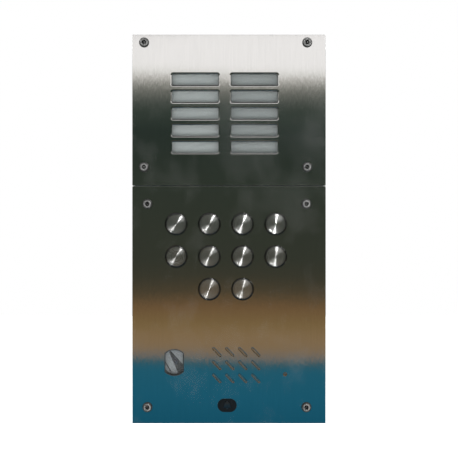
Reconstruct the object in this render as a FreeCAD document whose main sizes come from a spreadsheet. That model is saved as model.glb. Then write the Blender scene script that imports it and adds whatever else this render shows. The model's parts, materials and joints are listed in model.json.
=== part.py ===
"""Door intercom panel: a wall box behind two steel plates, name windows above, push buttons and speech parts below.

The frame: X to the right, Z up, the wall at Y = 0 and the front towards -Y. The origin is the centre of the box's
back. Every size is in millimetres and comes from the sheet of driving dimensions.
"""
import FreeCAD, Part
import os
import re
from FreeCAD import Placement, Rotation, Vector
import Sketcher

DRIVING_SIZES = {
    # plates and seam
    "panel_width": 185.0, "upper_height": 144.5, "lower_height": 227.0, "seam_gap": 0.4,
    "plate_thick": 3.0, "plate_corner": 0.6, "plate_edge": 0.25, "hole_edge": 0.25,
    # wall box of folded sheet, its inward flanges and the foam between flange and plate
    "box_depth": 45.0, "box_wall": 1.5, "box_inset": 1.5, "box_corner": 3.0,
    "left_flange": 21.5, "right_flange": 26.5, "end_flange": 7.0, "gasket_thick": 1.0, "gasket_inset": 2.0,
    "wall_hole_across": 130.0, "wall_hole_up": 320.0, "wall_hole_wide": 5.5,
    "entry_x": 0.0, "entry_z": -92.0, "entry_wide": 20.0, "cable_wide": 16.0, "grommet_flange": 26.0,
    "grommet_deep": 4.0, "earth_x": 68.0, "earth_z": 60.0,
    # plate screws, their holes and the clinch nuts
    "upper_screw_x": -3.2, "upper_screw_z": 118.8, "upper_screw_across": 156.0, "upper_screw_up": 119.2,
    "lower_screw_x": -2.0, "lower_screw_z": -73.2, "lower_screw_across": 152.0, "lower_screw_up": 194.4,
    "screw_hole": 5.5, "screw_shank": 4.9, "screw_long": 12.0, "head_rim_wide": 9.5, "head_rim_tall": 0.6,
    "dome_wide": 9.2, "dome_flat": 6.0, "dome_tall": 2.15, "recess_wide": 4.3, "recess_deep": 1.5,
    "pin_wide": 1.6, "nut_wide": 8.6, "nut_thick": 2.7, "nut_shank": 6.3, "nut_bore": 5.0,
    # name windows and what lies behind them
    "window_wide": 43.6, "window_tall": 9.6, "window_corner": 0.8, "window_lip": 2.1,
    "window_x": -4.0, "window_column_pitch": 56.6, "window_z": 110.6, "window_row_pitch": 16.2,
    "pane_wide": 112.0, "pane_tall": 83.0, "pane_thick": 2.0,
    "holder_wide": 129.0, "holder_deep": 11.0, "holder_face": 3.0, "holder_wall": 2.0,
    "card_wide": 47.0, "card_tall": 13.0, "card_thick": 0.4, "pocket_slack": 0.6,
    "window_stud_across": 122.0, "window_stud_up": 60.0, "board_thick": 1.6, "led_wide": 5.0, "led_tall": 1.6,
    # push buttons
    "button_x": -2.9, "button_column_pitch": 31.7, "button_z": 4.8, "button_row_pitch": 31.1,
    "button_wide": 21.0, "button_face": 16.6, "button_rim": 0.6, "button_proud": 1.5, "button_gap": 0.25,
    "button_flange": 24.0, "button_flange_thick": 1.2, "button_rest_gap": 0.3,
    "stem_wide": 8.0, "stem_gap": 0.3, "stem_end": 31.4,
    "spring_wide": 14.0, "spring_wire": 0.9, "spring_turns": 4.0, "spring_end_gap": 0.15,
    # keypad stack, as distances from the wall
    "carrier_front": 36.0, "carrier_thick": 3.0, "keypad_front": 24.0, "switch_wide": 12.0, "switch_tall": 3.5,
    "actuator_wide": 6.8, "actuator_tall": 1.7,
    # studs and nuts
    "stud_wide": 6.0, "thread_wide": 3.0, "thread_hole": 3.4, "stud_nut_wide": 6.4, "stud_nut_tall": 2.4,
    "thread_past_nut": 1.0,
    # speech grille, loudspeaker and microphone
    "grille_x": 7.0, "grille_z": -130.2, "grille_pitch": 12.4, "slot_long": 10.8, "slot_wide": 1.8, "slot_edge": 0.6,
    "slot_angle": -47.0, "mesh_wide": 58.0, "mesh_tall": 46.0, "mesh_thick": 0.4,
    "speaker_flange_wide": 72.0, "speaker_flange_tall": 62.0, "speaker_flange_thick": 2.0,
    "speaker_wide": 54.0, "speaker_wall": 1.6, "speaker_deep": 10.0, "cone_wide": 49.0, "cone_neck": 18.0,
    "cone_skin": 0.6, "magnet_wide": 32.0, "magnet_deep": 8.0,
    "speaker_stud_across": 62.0, "speaker_stud_up": 52.0,
    "microphone_x": 53.7, "microphone_z": -139.0, "microphone_hole": 2.4, "microphone_sink": 4.0,
    "capsule_wide": 9.7, "capsule_deep": 6.5, "boot_wide": 14.0, "boot_deep": 8.0,
    # camera
    "camera_x": -52.4, "camera_z": -127.7, "camera_hole": 25.1, "camera_flats": 18.2,
    "camera_pane": 34.0, "bracket_wide": 30.0, "bracket_tall": 52.0, "bracket_sheet": 1.2,
    "bracket_stud_up": 43.0, "arm_tall": 20.0, "arm_end": 21.0,
    "hood_wide": 27.0, "hood_front": 43.7, "hood_face": 1.0, "hood_deep": 2.2, "hood_wall": 1.2,
    "camera_pivot": 27.0, "camera_cube": 20.0, "camera_deep": 14.0, "lens_wide": 11.0, "lens_long": 5.5,
    "lens_glass": 7.0, "lens_recess": 1.0, "pivot_wide": 3.0, "pivot_gap": 0.1, "pivot_head": 6.0,
    "pivot_head_thick": 1.6, "pivot_in_camera": 3.0,
    # audio board
    "audio_front": 20.0, "audio_wide": 74.0, "audio_tall": 64.0,
    "terminal_long": 40.0, "terminal_tall": 10.0, "terminal_deep": 12.0, "terminal_drop": 25.0,
    "trimmer_wide": 9.0, "trimmer_deep": 5.0, "trimmer_x": -18.0, "trimmer_z": 8.0, "rotor_wide": 6.0,
    "rotor_tall": 1.5, "rotor_slot": 1.0,
    # badge
    "badge_x": -1.8, "badge_z": -168.6, "badge_wide": 18.3, "badge_tall": 12.7, "badge_thick": 0.6,
}

# Layers from the wall to the front, as formulas of the sheet.
BOX_FRONT = "-box_depth"
PLATE_REAR = "-(box_depth + gasket_thick)"
PLATE_FRONT = "-(box_depth + gasket_thick + plate_thick)"
PANE_REAR = "-(box_depth + gasket_thick - pane_thick)"
HOLDER_REAR = "-(box_depth + gasket_thick - pane_thick - holder_deep)"
FLANGE_REAR = "-(box_depth + gasket_thick - button_rest_gap - button_flange_thick)"
SPEAKER_FLANGE_REAR = "-(box_depth + gasket_thick - mesh_thick - speaker_flange_thick)"
SPEAKER_REAR = "-(box_depth + gasket_thick - mesh_thick - speaker_flange_thick - speaker_deep)"

# Places of plates, windows and buttons in the frontal plane.
BOX_WIDTH = "(panel_width - 2 * box_inset)"
PANEL_HEIGHT = "(upper_height + lower_height + seam_gap)"
BOX_HEIGHT = f"({PANEL_HEIGHT} - 2 * box_inset)"
UPPER_CENTRE = f"({PANEL_HEIGHT} / 2 - upper_height / 2)"
LOWER_CENTRE = f"(lower_height / 2 - {PANEL_HEIGHT} / 2)"
WINDOW_COLUMNS = 2
WINDOW_ROWS = 5
BUTTON_ROWS = ((0, 1, 2, 3), (0, 1, 2, 3), (1, 2))
GRILLE_COLUMNS = 4
GRILLE_ROWS = 3

DOC = FreeCAD.newDocument("door_intercom_panel")
SHEET = DOC.addObject("Spreadsheet::Sheet", "dims")
NODES = []
ALONG_Y = Rotation(Vector(1, 0, 0), -90)
ALONG_X = Rotation(Vector(0, 1, 0), 90)


# ---------------------------------------------------------------- sheet, formulas and small helpers
def fill_sheet():
    """Write each driving size into a cell of its own, with its name as the alias."""
    for row, (name, value) in enumerate(DRIVING_SIZES.items(), start=1):
        SHEET.set(f"A{row}", name.replace("_", " "))
        SHEET.set(f"B{row}", str(value))
        SHEET.setAlias(f"B{row}", name)
    DOC.recompute()


def formula(text):
    """Turn a formula in the sheet's names into an expression that reads the sheet."""
    return re.sub(r"[a-z]\w*", lambda word: "dims." + word[0] if word[0] in DRIVING_SIZES else word[0], str(text))


def size(text):
    """The present value of a formula, for shapes made in code."""
    return float(SHEET.evalExpression(formula(text)))


def bind(thing, **formulas):
    """Bind properties of an object to formulas."""
    for name, text in formulas.items():
        thing.setExpression(name, formula(text))
    return thing


def place(thing, x, y, z, turn=Rotation()):
    """Bind an object's place to three formulas."""
    thing.Placement = Placement(Vector(), turn)
    for axis, text in zip("xyz", (x, y, z)):
        thing.setExpression(f"Placement.Base.{axis}", formula(text))
    return thing


def node(thing, label):
    """Name a finished sub-part; its label is its file name."""
    thing.Label = label
    NODES.append(thing)
    return thing


def slab(name, x, z, front, width, height, thick):
    """A box centred on x and z, with its front face at the given Y."""
    thing = bind(DOC.addObject("Part::Box", name), Length=width, Width=thick, Height=height)
    return place(thing, f"({x}) - ({width}) / 2", front, f"({z}) - ({height}) / 2")


def rod(name, x, z, front, across, long):
    """A round bar along Y from its front end."""
    thing = bind(DOC.addObject("Part::Cylinder", name), Radius=f"({across}) / 2", Height=long)
    return place(thing, x, front, z, ALONG_Y)


def taper(name, x, z, front, across_front, across_rear, long):
    """A cone along Y from its front end."""
    thing = DOC.addObject("Part::Cone", name)
    bind(thing, Radius1=f"({across_front}) / 2", Radius2=f"({across_rear}) / 2", Height=long)
    return place(thing, x, front, z, ALONG_Y)


def cross_rod(name, x, y, z, across, long):
    """A round bar along X from its left end."""
    thing = bind(DOC.addObject("Part::Cylinder", name), Radius=f"({across}) / 2", Height=long)
    return place(thing, x, y, z, ALONG_X)


def gather(name, things):
    """Keep several solids together without joining them."""
    group = DOC.addObject("Part::Compound", name)
    group.Links = things
    return group


def fuse(name, things):
    """Join overlapping or touching solids into one."""
    joined = DOC.addObject("Part::MultiFuse", name)
    joined.Shapes = things
    joined.Refine = True
    return joined


def cut(name, base, tools):
    """Take tools that don't overlap each other out of a base."""
    result = DOC.addObject("Part::Cut", name)
    result.Base = base
    result.Tool = tools[0] if len(tools) == 1 else gather(name + "_tools", tools)
    return result


# ---------------------------------------------------------------- bodies and sketches seen from the front
def new_body(name, rear):
    """A body whose own XZ plane lies at the given Y and whose pads grow towards the front."""
    body = DOC.addObject("PartDesign::Body", name)
    body.setExpression("Placement.Base.y", formula(rear))
    return body


def new_sketch(body, name, forward="0"):
    """A sketch on the body's frontal plane, moved forward by a formula."""
    sketch = body.newObject("Sketcher::SketchObject", name)
    plane = next(item for item in body.Origin.OriginFeatures if item.Role == "XZ_Plane")
    sketch.AttachmentSupport = (plane, "")
    sketch.MapMode = "FlatFace"
    sketch.setExpression("AttachmentOffset.Base.z", formula(forward))
    return sketch


def rule(sketch, kind, *where, text):
    """Add one dimension to a sketch and bind it to a formula."""
    number = sketch.addConstraint(Sketcher.Constraint(kind, *where, size(text)))
    sketch.setExpression(f"Constraints[{number}]", formula(text))


def draw_circle(sketch, x, z, across):
    """A circle placed from the sketch's origin."""
    ring = sketch.addGeometry(Part.Circle(Vector(size(x), size(z), 0), Vector(0, 0, 1), size(across) / 2))
    rule(sketch, "DistanceX", -1, 1, ring, 3, text=x)
    rule(sketch, "DistanceY", -1, 1, ring, 3, text=z)
    rule(sketch, "Diameter", ring, text=across)


def draw_rectangle(sketch, x, z, width, height):
    """A rectangle centred on x and z."""
    half_width, half_height = size(width) / 2, size(height) / 2
    corners = [Vector(size(x) + side * half_width, size(z) + level * half_height, 0)
               for side, level in ((-1, -1), (1, -1), (1, 1), (-1, 1))]
    lines = [sketch.addGeometry(Part.LineSegment(corners[k], corners[(k + 1) % 4])) for k in range(4)]
    for k, line in enumerate(lines):
        sketch.addConstraint(Sketcher.Constraint("Coincident", line, 2, lines[(k + 1) % 4], 1))
        sketch.addConstraint(Sketcher.Constraint("Vertical" if k % 2 else "Horizontal", line))
    rule(sketch, "DistanceX", -1, 1, lines[0], 1, text=f"({x}) - ({width}) / 2")
    rule(sketch, "DistanceY", -1, 1, lines[0], 1, text=f"({z}) - ({height}) / 2")
    rule(sketch, "DistanceX", lines[0], 1, lines[0], 2, text=width)
    rule(sketch, "DistanceY", lines[1], 1, lines[1], 2, text=height)


def draw_slot(sketch, x, z, long, wide, angle):
    """A round-ended slot centred on x and z, turned by an angle."""
    reach = f"(({long}) - ({wide})) / 2"
    along = Vector(size(f"cos({angle} * 1 deg)"), size(f"sin({angle} * 1 deg)"), 0)
    across = Vector(-along.y, along.x, 0)
    middle = Vector(size(x), size(z), 0)
    radius = size(wide) / 2
    ends = [middle + along * size(reach) * side for side in (-1, 1)]
    arcs = []
    for centre, outward in zip(ends, (-1, 1)):
        bow = Part.Arc(centre + across * radius, centre + along * outward * radius, centre - across * radius)
        arcs.append(sketch.addGeometry(bow))
    sides = [sketch.addGeometry(Part.LineSegment(ends[0] + across * radius * side, ends[1] + across * radius * side))
             for side in (1, -1)]
    for arc, line, line_end in ((0, 0, 1), (1, 0, 2), (0, 1, 1), (1, 1, 2)):
        point = Vector(*(ends[arc] + across * radius * (1, -1)[line]))
        arc_end = 1 if sketch.getPoint(arcs[arc], 1).distanceToPoint(point) < radius / 2 else 2
        sketch.addConstraint(Sketcher.Constraint("Tangent", arcs[arc], arc_end, sides[line], line_end))
    sketch.addConstraint(Sketcher.Constraint("Equal", arcs[0], arcs[1]))
    rule(sketch, "Radius", arcs[0], text=f"({wide}) / 2")
    for arc, sign in zip(arcs, "-+"):
        rule(sketch, "DistanceX", -1, 1, arc, 3, text=f"({x}) {sign} {reach} * cos({angle} * 1 deg)")
        rule(sketch, "DistanceY", -1, 1, arc, 3, text=f"({z}) {sign} {reach} * sin({angle} * 1 deg)")


def pad(body, sketch, length, name="Pad"):
    """Grow a sketch towards the front."""
    feature = body.newObject("PartDesign::Pad", name)
    feature.Profile = sketch
    bind(feature, Length=length)
    DOC.recompute()
    return feature


def pocket(body, sketch, length, name, towards_front=True):
    """Cut a sketch out of the body, and make sure that it cut something."""
    before = body.Shape.Volume
    feature = body.newObject("PartDesign::Pocket", name)
    feature.Profile = sketch
    feature.Reversed = towards_front
    bind(feature, Length=length)
    DOC.recompute()
    if body.Shape.Volume > before - 1e-3:
        raise RuntimeError(f"{body.Name}: {name} cuts nothing")
    return feature


def edges_where(shape, wanted):
    """The names of a shape's edges that pass a test on the edge."""
    return [f"Edge{number}" for number, edge in enumerate(shape.Edges, start=1) if wanted(edge)]


def round_edges(body, wanted, radius, name, kind="PartDesign::Fillet"):
    """Fillet or chamfer the edges that pass a test, which reads places in the body's own frame."""
    base = body.Tip
    names = edges_where(base.Shape, wanted)
    feature = body.newObject(kind, name)
    feature.Base = (base, names)
    bind(feature, **{"Radius" if kind.endswith("Fillet") else "Size": radius})
    DOC.recompute()
    return feature


def at_depth(edge, depth):
    """Whether an edge lies in the frontal plane at this depth in front of the body's own plane."""
    return abs(edge.BoundBox.YMin + depth) < 1e-4 and abs(edge.BoundBox.YMax + depth) < 1e-4


# ---------------------------------------------------------------- places of repeated pieces
def rectangle_places(x, z, across, up):
    """Four places at the corners of a rectangle."""
    return [(f"{x} {side} {across} / 2", f"{z} {level} {up} / 2") for side in "-+" for level in "-+"]


def grid_places(x, z, columns, rows, column_pitch, row_pitch):
    """Places of a regular grid, left to right and top to bottom."""
    return [(f"{x} + {column_pitch} * {column - (columns - 1) / 2}",
             f"{z} - {row_pitch} * {row - (rows - 1) / 2}") for row in range(rows) for column in range(columns)]


def button_places():
    """Places of the ten buttons: two rows of four and two in the middle of the third row."""
    return [(f"button_x + button_column_pitch * {column - 1.5}", f"button_z - button_row_pitch * {row}")
            for row, columns in enumerate(BUTTON_ROWS) for column in columns]


UPPER_SCREWS = rectangle_places("upper_screw_x", "upper_screw_z", "upper_screw_across", "upper_screw_up")
LOWER_SCREWS = rectangle_places("lower_screw_x", "lower_screw_z", "lower_screw_across", "lower_screw_up")
WINDOWS = grid_places("window_x", "window_z", WINDOW_COLUMNS, WINDOW_ROWS, "window_column_pitch", "window_row_pitch")
WINDOW_STUDS = rectangle_places("window_x", "window_z", "window_stud_across", "window_stud_up")
KEYPAD_STUDS = [
    ("button_x - button_column_pitch", "button_z - button_row_pitch / 2"),
    ("button_x + button_column_pitch", "button_z - button_row_pitch / 2"),
    ("button_x - button_column_pitch * 1.5", "button_z - button_row_pitch * 2"),
    ("button_x + button_column_pitch * 1.5", "button_z - button_row_pitch * 2"),
    ("button_x", "button_z + button_row_pitch * 0.37"),
    ("button_x", "button_z - button_row_pitch * 2.5"),
]
SPEAKER_STUDS = rectangle_places("grille_x", "grille_z", "speaker_stud_across", "speaker_stud_up")
BRACKET_STUDS = [("camera_x", f"camera_z {level} bracket_stud_up / 2") for level in "-+"]


# ---------------------------------------------------------------- wall box and its fittings
def back_box():
    """Folded steel box with inward flanges for the plates, wall-screw holes and a cable entry."""
    body = new_body("back_box", "0")
    outline = new_sketch(body, "box_outline")
    draw_rectangle(outline, "0", "0", BOX_WIDTH, BOX_HEIGHT)
    pad(body, outline, "box_depth")
    round_edges(body, lambda edge: edge.BoundBox.YLength > 1, "box_corner", "CornerBends")
    inside = new_sketch(body, "box_inside", "box_wall")
    draw_rectangle(inside, "0", "0", f"{BOX_WIDTH} - 2 * box_wall", f"{BOX_HEIGHT} - 2 * box_wall")
    pocket(body, inside, "box_depth - 2 * box_wall", "Inside")
    mouth = new_sketch(body, "box_mouth", "box_depth - box_wall")
    draw_rectangle(mouth, "(left_flange - right_flange) / 2", "0",
                   f"{BOX_WIDTH} - left_flange - right_flange", f"{BOX_HEIGHT} - 2 * end_flange")
    pocket(body, mouth, "box_wall", "Mouth")
    holes = new_sketch(body, "wall_holes")
    for x, z in rectangle_places("0", "0", "wall_hole_across", "wall_hole_up"):
        draw_circle(holes, x, z, "wall_hole_wide")
    draw_circle(holes, "entry_x", "entry_z", "entry_wide")
    pocket(body, holes, "box_wall", "WallHoles")
    nuts = new_sketch(body, "nut_holes", "box_depth - box_wall")
    for x, z in UPPER_SCREWS + LOWER_SCREWS:
        draw_circle(nuts, x, z, "nut_shank")
    pocket(body, nuts, "box_wall", "NutHoles")
    node(body, "back_box")


def clinch_nuts():
    """Eight threaded inserts pressed into the box's flanges."""
    nuts = []
    for number, (x, z) in enumerate(UPPER_SCREWS + LOWER_SCREWS, start=1):
        shank = rod(f"nut_shank_{number}", x, z, BOX_FRONT, "nut_shank", "box_wall")
        collar = rod(f"nut_collar_{number}", x, z, "-(box_depth - box_wall)", "nut_wide", "nut_thick")
        bore = rod(f"nut_bore_{number}", x, z, BOX_FRONT, "nut_bore", "box_wall + nut_thick")
        nuts.append(cut(f"nut_{number}", fuse(f"nut_blank_{number}", [shank, collar]), [bore]))
    node(gather("nut_set", nuts), "clinch_nuts")


def cable_grommet():
    """Rubber bush in the cable entry, flush with the box's back."""
    neck = rod("grommet_neck", "entry_x", "entry_z", "-box_wall", "entry_wide", "box_wall")
    collar = rod("grommet_collar", "entry_x", "entry_z", "-grommet_deep", "grommet_flange", "grommet_deep - box_wall")
    bore = rod("grommet_bore", "entry_x", "entry_z", "-grommet_deep", "cable_wide", "grommet_deep")
    node(cut("grommet", fuse("grommet_blank", [neck, collar]), [bore]), "cable_grommet")


def earth_stud():
    """Earthing stud with its collar nut on the box's back wall."""
    stud = rod("earth_bolt", "earth_x", "earth_z", "-(box_wall + 10)", "4", "10")
    nut = rod("earth_nut", "earth_x", "earth_z", "-(box_wall + 3.2)", "8", "3.2")
    node(fuse("earth_set", [stud, nut]), "earth_stud")


def gasket(label, z, height, screws):
    """Closed-cell foam frame between a plate and the box."""
    body = new_body(label, BOX_FRONT)
    outline = new_sketch(body, label + "_outline")
    draw_rectangle(outline, "0", z, f"{BOX_WIDTH} - gasket_inset", f"{height} - gasket_inset")
    draw_rectangle(outline, "(left_flange - right_flange) / 2", z,
                   f"{BOX_WIDTH} - left_flange - right_flange", f"{height} - 2 * end_flange - box_inset * 2")
    for x, hole_z in screws:
        draw_circle(outline, x, hole_z, "nut_shank")
    pad(body, outline, "gasket_thick")
    node(body, label)


# ---------------------------------------------------------------- the two plates
def plate(label, z, height, screws):
    """A blank plate with its four screw holes."""
    body = new_body(label, PLATE_REAR)
    outline = new_sketch(body, label + "_outline")
    draw_rectangle(outline, "0", z, "panel_width", height)
    pad(body, outline, "plate_thick")
    round_edges(body, lambda edge: edge.BoundBox.YLength > 1, "plate_corner", "Corners")
    round_edges(body, lambda edge: at_depth(edge, size("plate_thick")), "plate_edge", "FrontEdge")
    holes = new_sketch(body, label + "_screw_holes")
    for x, hole_z in screws:
        draw_circle(holes, x, hole_z, "screw_hole")
    pocket(body, holes, "plate_thick", "ScrewHoles")
    return body


def directory_plate():
    """Upper plate with ten name windows, each with a rolled-in lip."""
    body = plate("directory_plate", UPPER_CENTRE, "upper_height", UPPER_SCREWS)
    windows = new_sketch(body, "window_openings")
    for x, z in WINDOWS:
        draw_rectangle(windows, x, z, "window_wide", "window_tall")
    pocket(body, windows, "plate_thick", "Windows")
    thick, half_width, half_height = size("plate_thick"), size("window_wide / 2"), size("window_tall / 2")
    centres = [Vector(size(x), 0, size(z)) for x, z in WINDOWS]

    def beside_window(edge):
        """Whether an edge lies on the wall of one of the openings."""
        middle = edge.BoundBox.Center
        return any(abs(middle.x - c.x) < half_width + 0.1 and abs(middle.z - c.z) < half_height + 0.1
                   for c in centres)

    round_edges(body, lambda e: beside_window(e) and abs(e.BoundBox.YLength - thick) < 1e-3,
                "window_corner", "WindowCorners")
    round_edges(body, lambda e: beside_window(e) and at_depth(e, thick), "window_lip", "WindowLips")
    node(body, "directory_plate")


def speech_plate():
    """Lower plate with holes for buttons, camera, grille and microphone."""
    body = plate("speech_plate", LOWER_CENTRE, "lower_height", LOWER_SCREWS)
    holes = new_sketch(body, "button_holes")
    for x, z in button_places():
        draw_circle(holes, x, z, "button_wide + 2 * button_gap")
    draw_circle(holes, "microphone_x", "microphone_z", "microphone_hole")
    pocket(body, holes, "plate_thick", "RoundHoles")
    slots = new_sketch(body, "grille_slots")
    for x, z in grid_places("grille_x", "grille_z", GRILLE_COLUMNS, GRILLE_ROWS, "grille_pitch", "grille_pitch"):
        draw_slot(slots, x, z, "slot_long", "slot_wide", "slot_angle")
    pocket(body, slots, "plate_thick", "GrilleSlots")
    camera = new_sketch(body, "camera_opening")
    draw_flatted_circle(camera, "camera_x", "camera_z", "camera_hole", "camera_flats")
    pocket(body, camera, "plate_thick", "CameraOpening")
    thick, sink = size("plate_thick"), Vector(size("microphone_x"), 0, size("microphone_z"))
    grille, grille_reach = Vector(size("grille_x"), 0, size("grille_z")), size("2 * grille_pitch")
    reach = size("panel_width") / 2 - size("plate_edge") - 1

    def at_microphone(edge):
        """Whether an edge belongs to the small sound hole."""
        middle = edge.BoundBox.Center
        return abs(middle.x - sink.x) < 1 and abs(middle.z - sink.z) < 1

    def at_grille(edge):
        """Whether an edge belongs to the slots of the speech grille."""
        middle = edge.BoundBox.Center
        return abs(middle.x - grille.x) < grille_reach and abs(middle.z - grille.z) < grille_reach

    def other_rim(edge):
        """Whether an edge is on the front rim of a button hole or the camera opening."""
        return at_depth(edge, thick) and edge.BoundBox.XLength < reach and abs(edge.BoundBox.XMin) < reach \
            and edge.BoundBox.ZLength < reach and not at_microphone(edge) and not at_grille(edge)

    round_edges(body, lambda edge: at_depth(edge, thick) and at_microphone(edge),
                "(microphone_sink - microphone_hole) / 2", "MicrophoneSink", kind="PartDesign::Chamfer")
    round_edges(body, lambda edge: at_depth(edge, thick) and at_grille(edge), "slot_edge", "GrilleRims")
    round_edges(body, other_rim, "hole_edge", "OpeningRims")
    node(body, "speech_plate")


def draw_flatted_circle(sketch, x, z, across, flats):
    """A circle with its left and right sides cut off flat."""
    centre = Vector(size(x), size(z), 0)
    radius, reach = size(across) / 2, size(flats) / 2
    rise = (radius ** 2 - reach ** 2) ** 0.5
    top = Part.Arc(centre + Vector(reach, rise, 0), centre + Vector(0, radius, 0), centre + Vector(-reach, rise, 0))
    low = Part.Arc(centre + Vector(-reach, -rise, 0), centre + Vector(0, -radius, 0), centre + Vector(reach, -rise, 0))
    left = Part.LineSegment(centre + Vector(-reach, rise, 0), centre + Vector(-reach, -rise, 0))
    right = Part.LineSegment(centre + Vector(reach, -rise, 0), centre + Vector(reach, rise, 0))
    pieces = [sketch.addGeometry(shape) for shape in (top, left, low, right)]
    for k, piece in enumerate(pieces):
        sketch.addConstraint(Sketcher.Constraint("Coincident", piece, 2, pieces[(k + 1) % 4], 1))
    for line in (pieces[1], pieces[3]):
        sketch.addConstraint(Sketcher.Constraint("Vertical", line))
    sketch.addConstraint(Sketcher.Constraint("Coincident", pieces[0], 3, pieces[2], 3))
    rule(sketch, "Radius", pieces[0], text=f"{across} / 2")
    rule(sketch, "DistanceX", -1, 1, pieces[0], 3, text=x)
    rule(sketch, "DistanceY", -1, 1, pieces[0], 3, text=z)
    rule(sketch, "DistanceX", -1, 1, pieces[1], 1, text=f"{x} - {flats} / 2")
    rule(sketch, "DistanceX", -1, 1, pieces[3], 1, text=f"{x} + {flats} / 2")


def plate_screws(label, places):
    """Button-head security screws with a pinned recess, one set for each plate."""
    screws = []
    for number, (x, z) in enumerate(places, start=1):
        tag = f"{label}_{number}"
        dome_front = f"{PLATE_FRONT} - head_rim_tall - dome_tall"
        dome = taper(tag + "_dome", x, z, dome_front, "dome_flat", "dome_wide", "dome_tall")
        rim = rod(tag + "_rim", x, z, f"{PLATE_FRONT} - head_rim_tall", "head_rim_wide", "head_rim_tall")
        shank = rod(tag + "_shank", x, z, PLATE_FRONT, "screw_shank", "screw_long")
        recess = rod(tag + "_recess", x, z, dome_front, "recess_wide", "recess_deep")
        pin = rod(tag + "_pin", x, z, f"{dome_front} + 0.2", "pin_wide", "recess_deep")
        socketed = cut(tag + "_socketed", fuse(tag + "_blank", [dome, rim, shank]), [recess])
        screws.append(fuse(tag, [socketed, pin]))
    node(gather(label + "_set", screws), label)


def stud(tag, place_of_stud, shoulder_end, thread_end):
    """A stud welded to a plate's back: a shoulder as a spacer, then thread."""
    x, z = place_of_stud
    pieces = [rod(tag + "_thread", x, z, PLATE_REAR, "thread_wide", f"{thread_end} - ({PLATE_REAR})")]
    if shoulder_end:
        pieces.append(rod(tag + "_shoulder", x, z, PLATE_REAR, "stud_wide", f"{shoulder_end} - ({PLATE_REAR})"))
        return fuse(tag, pieces)
    return pieces[0]


def studs_spacers_and_nuts():
    """All studs, with the spacers and nuts on them."""
    past_nut = "stud_nut_tall + thread_past_nut"
    backlight_rear = f"{HOLDER_REAR} + board_thick"
    keypad_rear = "-keypad_front + board_thick"
    audio_rear = "-audio_front + board_thick"
    bracket_rear = f"{PANE_REAR} + bracket_sheet"
    directory = [stud(f"directory_stud_{n}", where, PANE_REAR, f"{backlight_rear} + {past_nut}")
                 for n, where in enumerate(WINDOW_STUDS, start=1)]
    node(gather("directory_stud_set", directory), "directory_studs")
    speech = [stud(f"keypad_stud_{n}", where, "-carrier_front", f"{keypad_rear} + {past_nut}")
              for n, where in enumerate(KEYPAD_STUDS, start=1)]
    speech += [stud(f"speaker_stud_{n}", where, None, f"{audio_rear} + {past_nut}")
               for n, where in enumerate(SPEAKER_STUDS, start=1)]
    speech += [stud(f"bracket_stud_{n}", where, None, f"{bracket_rear} + {past_nut}")
               for n, where in enumerate(BRACKET_STUDS, start=1)]
    node(gather("speech_stud_set", speech), "speech_studs")
    spacers = [spacer(f"keypad_spacer_{n}", where, "-(carrier_front - carrier_thick)", "-keypad_front")
               for n, where in enumerate(KEYPAD_STUDS, start=1)]
    spacers += [spacer(f"audio_spacer_{n}", where, SPEAKER_FLANGE_REAR, "-audio_front")
                for n, where in enumerate(SPEAKER_STUDS, start=1)]
    node(gather("spacer_set", spacers), "board_spacers")
    seats = [(where, backlight_rear) for where in WINDOW_STUDS]
    seats += [(where, keypad_rear) for where in KEYPAD_STUDS]
    seats += [(where, audio_rear) for where in SPEAKER_STUDS]
    seats += [(where, bracket_rear) for where in BRACKET_STUDS]
    nuts = [hex_nut(f"stud_nut_{n}", where, seat) for n, (where, seat) in enumerate(seats, start=1)]
    node(gather("stud_nut_set", nuts), "stud_nuts")


def spacer(tag, where, front, rear):
    """A sleeve over a stud."""
    x, z = where
    sleeve = rod(tag + "_sleeve", x, z, front, "stud_wide", f"{rear} - ({front})")
    bore = rod(tag + "_bore", x, z, front, "thread_wide", f"{rear} - ({front})")
    return cut(tag, sleeve, [bore])


def hex_nut(tag, where, seat):
    """A hexagon nut on a stud, with its face on the piece that it clamps."""
    x, z = where
    blank = DOC.addObject("Part::Prism", tag + "_hexagon")
    bind(blank, Circumradius="stud_nut_wide / 2", Height="stud_nut_tall")
    place(blank, x, seat, z, ALONG_Y)
    bore = rod(tag + "_bore", x, z, seat, "thread_wide", "stud_nut_tall")
    return cut(tag, blank, [bore])


# ---------------------------------------------------------------- name windows
def window_pane():
    """Clear sheet behind the ten windows."""
    node(slab("pane", "window_x", "window_z", PLATE_REAR, "pane_wide", "pane_tall", "pane_thick"), "window_pane")


def card_holder():
    """Opal moulding with a pocket for each card, walls behind that make a light box, and a boss for each stud."""
    body = new_body("card_holder", HOLDER_REAR)
    outline = new_sketch(body, "holder_outline")
    draw_rectangle(outline, "window_x", "window_z", "holder_wide", "pane_tall")
    pad(body, outline, "holder_deep")
    inside = new_sketch(body, "holder_inside")
    draw_rectangle(inside, "window_x", "window_z", "pane_wide - 2 * holder_wall", "pane_tall - 2 * holder_wall")
    pocket(body, inside, "holder_deep - holder_face", "LightBox")
    pockets = new_sketch(body, "card_pockets", "holder_deep")
    for x, z in WINDOWS:
        draw_rectangle(pockets, x, z, "card_wide + pocket_slack", "card_tall + pocket_slack")
    pocket(body, pockets, "card_thick + pocket_slack / 3", "CardPockets", towards_front=False)
    holes = new_sketch(body, "holder_stud_holes")
    for x, z in WINDOW_STUDS:
        draw_circle(holes, x, z, "thread_hole")
    pocket(body, holes, "holder_deep", "StudHoles")
    node(body, "card_holder")


def name_cards():
    """Ten blank cards, one behind each window."""
    cards = [slab(f"card_{n}", x, z, PANE_REAR, "card_wide", "card_tall", "card_thick")
             for n, (x, z) in enumerate(WINDOWS, start=1)]
    node(gather("card_set", cards), "name_cards")


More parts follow.
